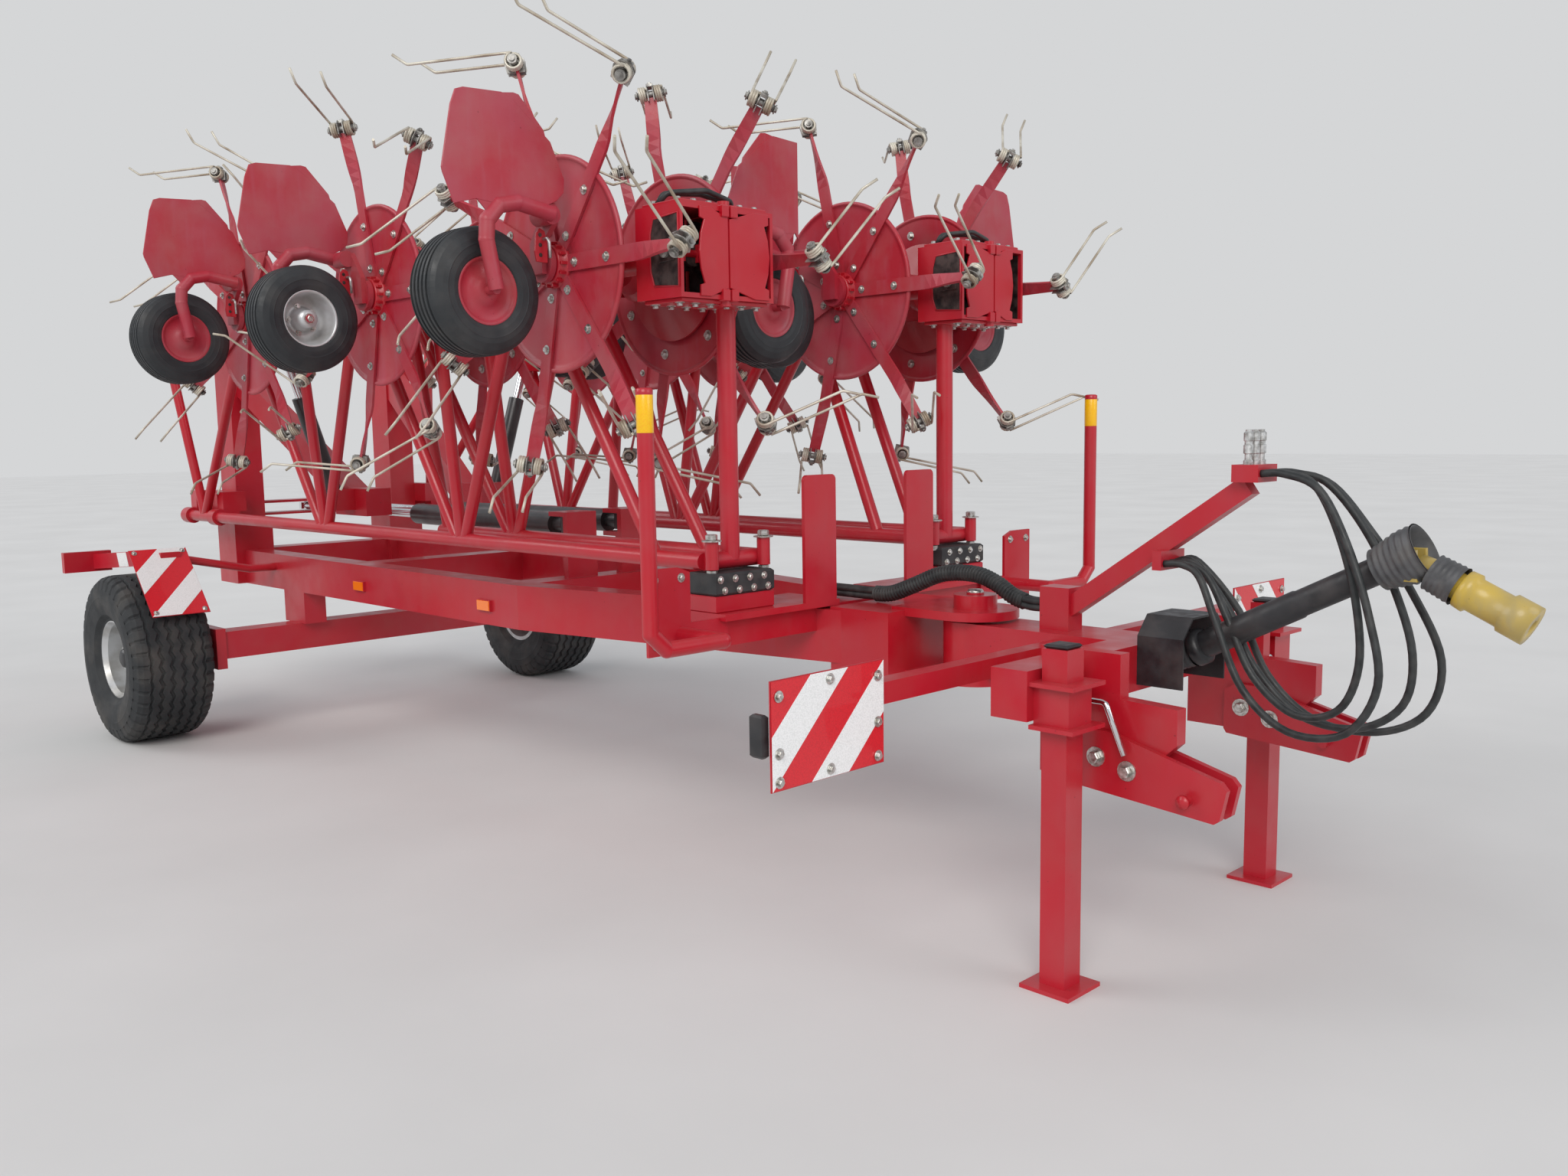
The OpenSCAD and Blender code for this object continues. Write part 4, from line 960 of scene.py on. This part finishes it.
def bolt_rows():
    """Rest pads, bolts on the front cross tubes, hinge and link arms, and the stands' caps."""
    for hand, side in SIDES:
        rest = rest_pad(hand, side)
        for k in range(4):
            for z, shift in ((1.026, 0.0), (1.064, 0.018)):
                rest.bolt(place(PAD_X, side * (0.495 + k * 0.067 + shift), z), AHEAD, 0.014)
        for y, z in ((0.9, 1.09), (1.01, 1.09), (1.01, 0.88)):
            rest.bolt(place(3.952, side * y, z), AHEAD, 0.016)
        rest.done()
        wing = Shape(f"wing_fittings_{hand}", f"wing_{hand}", "coupler")
        for y in (HINGE_Y, 0.47):
            wing.bolt(place(CROSS_TUBE_X, side * y, 1.19), UP, 0.036)
            wing.lathe([(0.012, 0), (0.019, 0.001), (0.019, 0.02), (0.012, 0.022)], "bolt",
                       turn_to(place(CROSS_TUBE_X, side * y, 1.072), UP), 6, smooth=False)
        wing.done()
        arm = Shape(f"link_fittings_{hand}", "headstock", "coupler")
        for x, z in ((5.229, 0.637), (5.327, 0.612)):
            for s in (-1, 1):
                arm.bolt(place(x, side * 0.435 + s * 0.043, z), (0, s, 0), 0.03)
        pin = place(5.51, side * 0.505, 0.565)
        arm.lathe([(0, 0.01), (0.018, 0.008), (0.02, 0.0), (0.0, 0.0)], "frame_red",
                  turn_to(pin, (0, side, 0)), 20)
        # The bent pin that holds the stand, and the stand's black cap
        bent = ((5.206, 0.535, 0.8), (5.206, 0.5, 0.8), (5.27, 0.5, 0.8), (5.33, 0.5, 0.66))
        arm.tube(rounded([place(x, side * y, z) for x, y, z in bent], 0.02), 0.009, "chrome_rod", 10)
        arm.done()
        cap = Shape(f"stand_cap_{hand}", f"stand_{hand}", "guard_plastic")
        cap.span(side, (5.168, 5.244), (0.575, 0.651), (0.9602, 0.972), "guard_plastic", 0.006)
        cap.done()
    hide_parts("rest_pads")
    hinge = Shape("hinge_fittings", "headstock", "coupler")
    hinge.lathe([(0, 0.01), (0.024, 0.01), (0.029, 0.004), (0.029, 0)], "bolt",
                turn_to(place(4.45, 0, 0.994), UP), 24)
    hinge.block(place(4.995, -0.142, 0.79), place(5.000, -0.105, 0.85), "orange", 0.001)
    hinge.done()


# Drive shaft

PTO_REAR = (5.15, 0, 0.865)
PTO_JOINT = (5.87, 0, 1.195)
PTO_END = (6.18, 0, 1.04)


def ribbed(radius, length, ribs, depth):
    """A bell's profile with ribs: radius is a function of the share of its length."""
    profile = []
    for k in range(ribs * 4 + 1):
        t = k / (ribs * 4)
        profile.append((radius(t) + depth * cos(2 * pi * ribs * t), t * length))
    return profile


def drive_shaft():
    """Worn black guard tube between a bellows and two ribbed bells, with the cast yoke in front."""
    shape = Shape("drive_shaft_dressed", "headstock", "guard_plastic")
    rear, joint, end = place(*PTO_REAR), place(*PTO_JOINT), place(*PTO_END)
    tube_start = rear + Vector((0.08, 0, 0))
    along = (joint - tube_start).normalized()
    ahead = (end - joint).normalized()
    shape.lathe(ribbed(lambda t: 0.072 - 0.02 * t, 0.125, 8, 0.003), "guard_plastic",
                turn_to(rear, (1, 0, 0.2)), 36)
    shape.lathe([(0.052, 0), (0.056, 0.002), (0.056, 0.03), (0.047, 0.036), (0.0415, 0.038)], "guard_plastic",
                turn_to(tube_start + along * 0.045, along), 36)
    reach = (joint - tube_start).length
    shape.lathe([(0.0415, 0.02), (0.0415, reach * 0.55), (0.0385, reach * 0.56), (0.0385, reach - 0.05)],
                "guard_plastic", turn_to(tube_start, along), 36)
    # Rear bell opens towards the joint; the front one covers the yoke's neck
    m = turn_to(joint - along * 0.078, along)
    shape.lathe(ribbed(lambda t: 0.058 + 0.017 * min(1, t * 1.6), 0.13, 7, 0.0022), "ribbed_grey", m, 48)
    shape.lathe([(0.073, 0.13), (0.07, 0.1305), (0.068, 0.06), (0.04, 0.0)], "ribbed_grey", m, 48)
    n = turn_to(joint + ahead * 0.075, ahead)
    shape.lathe(ribbed(lambda t: 0.05 + 0.003 * t, 0.075, 5, 0.0016), "ribbed_grey", n, 40)
    shape.lathe([(0.0, -0.045), (0.03, -0.04), (0.036, 0.0), (0.036, 0.16)], "yellow_cast", n, 24)
    yoke = turn_to(joint + ahead * 0.155, ahead)
    shape.lathe([(0.036, 0.0), (0.052, 0.004), (0.054, 0.03), (0.046, 0.036), (0.046, 0.12), (0.054, 0.126),
                 (0.054, 0.191), (0.0178, 0.1912), (0.0178, 0.1)], "yellow_cast", yoke, 36)
    for s in (-1, 1):
        shape.prism([(-0.026, -0.05), (0.026, -0.05), (0.02, 0.035), (-0.02, 0.035)], 0.014, "yellow_cast",
                    turn_to(joint + ahead * 0.02 + Vector((0, s * 0.03, 0)), (0, s, 0)), 0.002)
    shape.done(("pto_shaft",))


def hinge_block(shape, side, sign, xs, ys, zs, finish, bevel):
    """A block beside the fold hinge: ys count from its pin, zs from the rotors' height."""
    shape.span(side, xs, [HINGE_Y + sign * y for y in ys], [ROTOR_Z + z for z in zs], finish, bevel)


def hinge_cover(shape, side, sign):
    """Half of the hinge's box: its cover plate, knuckle blocks and thin dark sheets of painted shade for the
    inside.
    """
    # The cover is low at the pin, with a bulged and notched outer edge
    width = 0.126 if sign > 0 else 0.18
    lower = [(0.004, -0.108), (width * 0.62, -0.138), (width - 0.004, -0.138), (width - 0.004, -0.104),
             (width - 0.022, -0.098), (width - 0.007, -0.055)]
    upper = [(d, -z) for d, z in reversed(lower)]
    outline = [(HINGE_Y + sign * d, z) for d, z in lower + [(width, 0.0)] + upper]
    shape.prism(outline, 0.008, "frame_red", facing_front(3.998, 0, side), 0.0012)
    for zs in ((0.112, 0.15), (-0.15, -0.112)):
        hinge_block(shape, side, sign, (3.955, 4.012), (0.004, 0.034), zs, "frame_red", 0.003)
    # Thin dark sheets, painted shade for the inside that is seen through the gaps beside the covers
    for xs, ys, z in (((3.7952, 3.799), (0.01, 0.184), 0.128), ((3.8, 3.985), (0.1865, 0.1838), 0.126)):
        hinge_block(shape, side, sign, xs, ys, (-z, z), "grease_and_shade", 0.0005)


def hinge_window(shape, side, sign):
    """A thin dark sheet painted as the shade of a recess on the box's side wall, with the joint's fork behind
    its rim.
    """
    window = [(3.872, -0.104), (3.992, -0.112), (3.992, 0.112), (3.872, 0.104), (3.856, 0.06),
              (3.852, 0.0), (3.856, -0.06)]
    axes = Matrix(((1, 0, 0, 0), (0, 0, side * sign, 0), (0, 1, 0, 0), (0, 0, 0, 1)))
    m = move(place(0, side * (HINGE_Y + sign * 0.2002), ROTOR_Z)) @ axes
    # The recess is a flat dark sheet of painted shade, with the red rim round it
    shape.prism(window, 0.0012, "grease_and_shade", m)
    shape.tube([m @ Vector((x, z, 0.001)) for x, z in window + window[:1]], 0.0035, "frame_red", 6)
    fork = [(3.9, -0.034), (3.975, -0.03), (3.975, 0.03), (3.9, 0.034)]
    shape.prism(fork, 0.006, "grease_and_shade", m, 0.001)
    shape.lathe([(0, 0), (0.02, 0), (0.022, 0.004), (0.022, 0.012), (0.014, 0.016), (0, 0.016)],
                "clamp_steel", m @ move((3.935, 0, 0.004)), 16, smooth=False)


def hinge_flanges(shape, side):
    """Flanges over and under the boxes with their bolts, and two short black hoses over the hinge."""
    for out in (1, -1):
        level = ROTOR_Z + out * HINGE_HALF
        outer = level + out * 0.012
        for ys in ((0.525, 0.7), (0.72, 0.895)):
            shape.span(side, (3.8, 3.985), ys, sorted((level, outer)), "frame_red")
        for y in (0.545, 0.61, 0.675, 0.745, 0.81, 0.875):
            for x in (3.83, 3.95):
                shape.bolt(place(x, side * y, outer), (0, 0, out), 0.017)
    top = ROTOR_Z + HINGE_HALF
    for k in range(2):
        x = 3.85 + 0.02 * k
        route = ((3.84, 0.555, 0.012), (x, 0.57, 0.048), (3.87 + 0.03 * k, HINGE_Y, 0.058 + 0.008 * k),
                 (x, 0.85, 0.048), (3.84, 0.865, 0.012))
        hose = rounded([place(x, side * y, top + z) for x, y, z in route], 0.06, 6)
        shape.tube(hose, 0.009, "hose", 10)


def hinge_boxes():
    """Covers, flanges and bolts of the fold hinges, the greasy joints inside and the hoses on top."""
    for hand, side in SIDES:
        shape = Shape(f"hinge_boxes_{hand}", f"wing_{hand}", "frame_red")
        for sign in (-1, 1):
            hinge_cover(shape, side, sign)
            hinge_window(shape, side, sign)
        hinge_flanges(shape, side)
        # Joint in the gap between the boxes
        for y in (0.62, 0.8):
            shape.lathe([(0.0, 0.0), (0.05, 0.0), (0.052, 0.012), (0.04, 0.02), (0.04, 0.05),
                         (0.0, 0.052)], "grease_and_shade", turn_to(place(3.884, side * y, ROTOR_Z), AHEAD),
                        20, smooth=False)
        shape.done()


def couplers():
    """Quick couplers parked in the bracket, each with its collars."""
    shape = Shape("couplers_dressed", "headstock", "coupler")
    for y in (-0.04, 0.0, 0.04):
        m = turn_to(place(5.44, y, 1.44), UP)
        shape.lathe([(0.0, 0.0), (0.0135, 0.0), (0.0135, 0.012), (0.01, 0.014), (0.01, 0.03), (0.0137, 0.032),
                     (0.0137, 0.055), (0.011, 0.057), (0.011, 0.066), (0.0137, 0.068), (0.0137, 0.09),
                     (0.009, 0.094), (0.009, 0.099), (0.0, 0.0995)], "coupler", m, 16, smooth=False)
    shape.done(("hose_couplers",))


make_camera()
make_stage()
dress_frame()
free_hose("hose_loop_1_dressed", LOOP_1, ("hose_loop_1",))
free_hose("hose_loop_2_dressed", LOOP_2, ("hose_loop_2",))
free_hose("hose_loop_3", LOOP_3)
free_hose("hose_loop_4", LOOP_4)
make_conduit()
for hand, side in SIDES:
    transport_tyre(hand, side)
    rim_fittings(hand, side)
    for i in range(len(ROTORS)):
        make_rotor(i, hand, side)
        make_small_wheel(i, hand, side)
        deflector(i, hand, side)
front_boards()
rear_boards()
guard_bands()
bolt_rows()
hinge_boxes()
drive_shaft()
couplers()
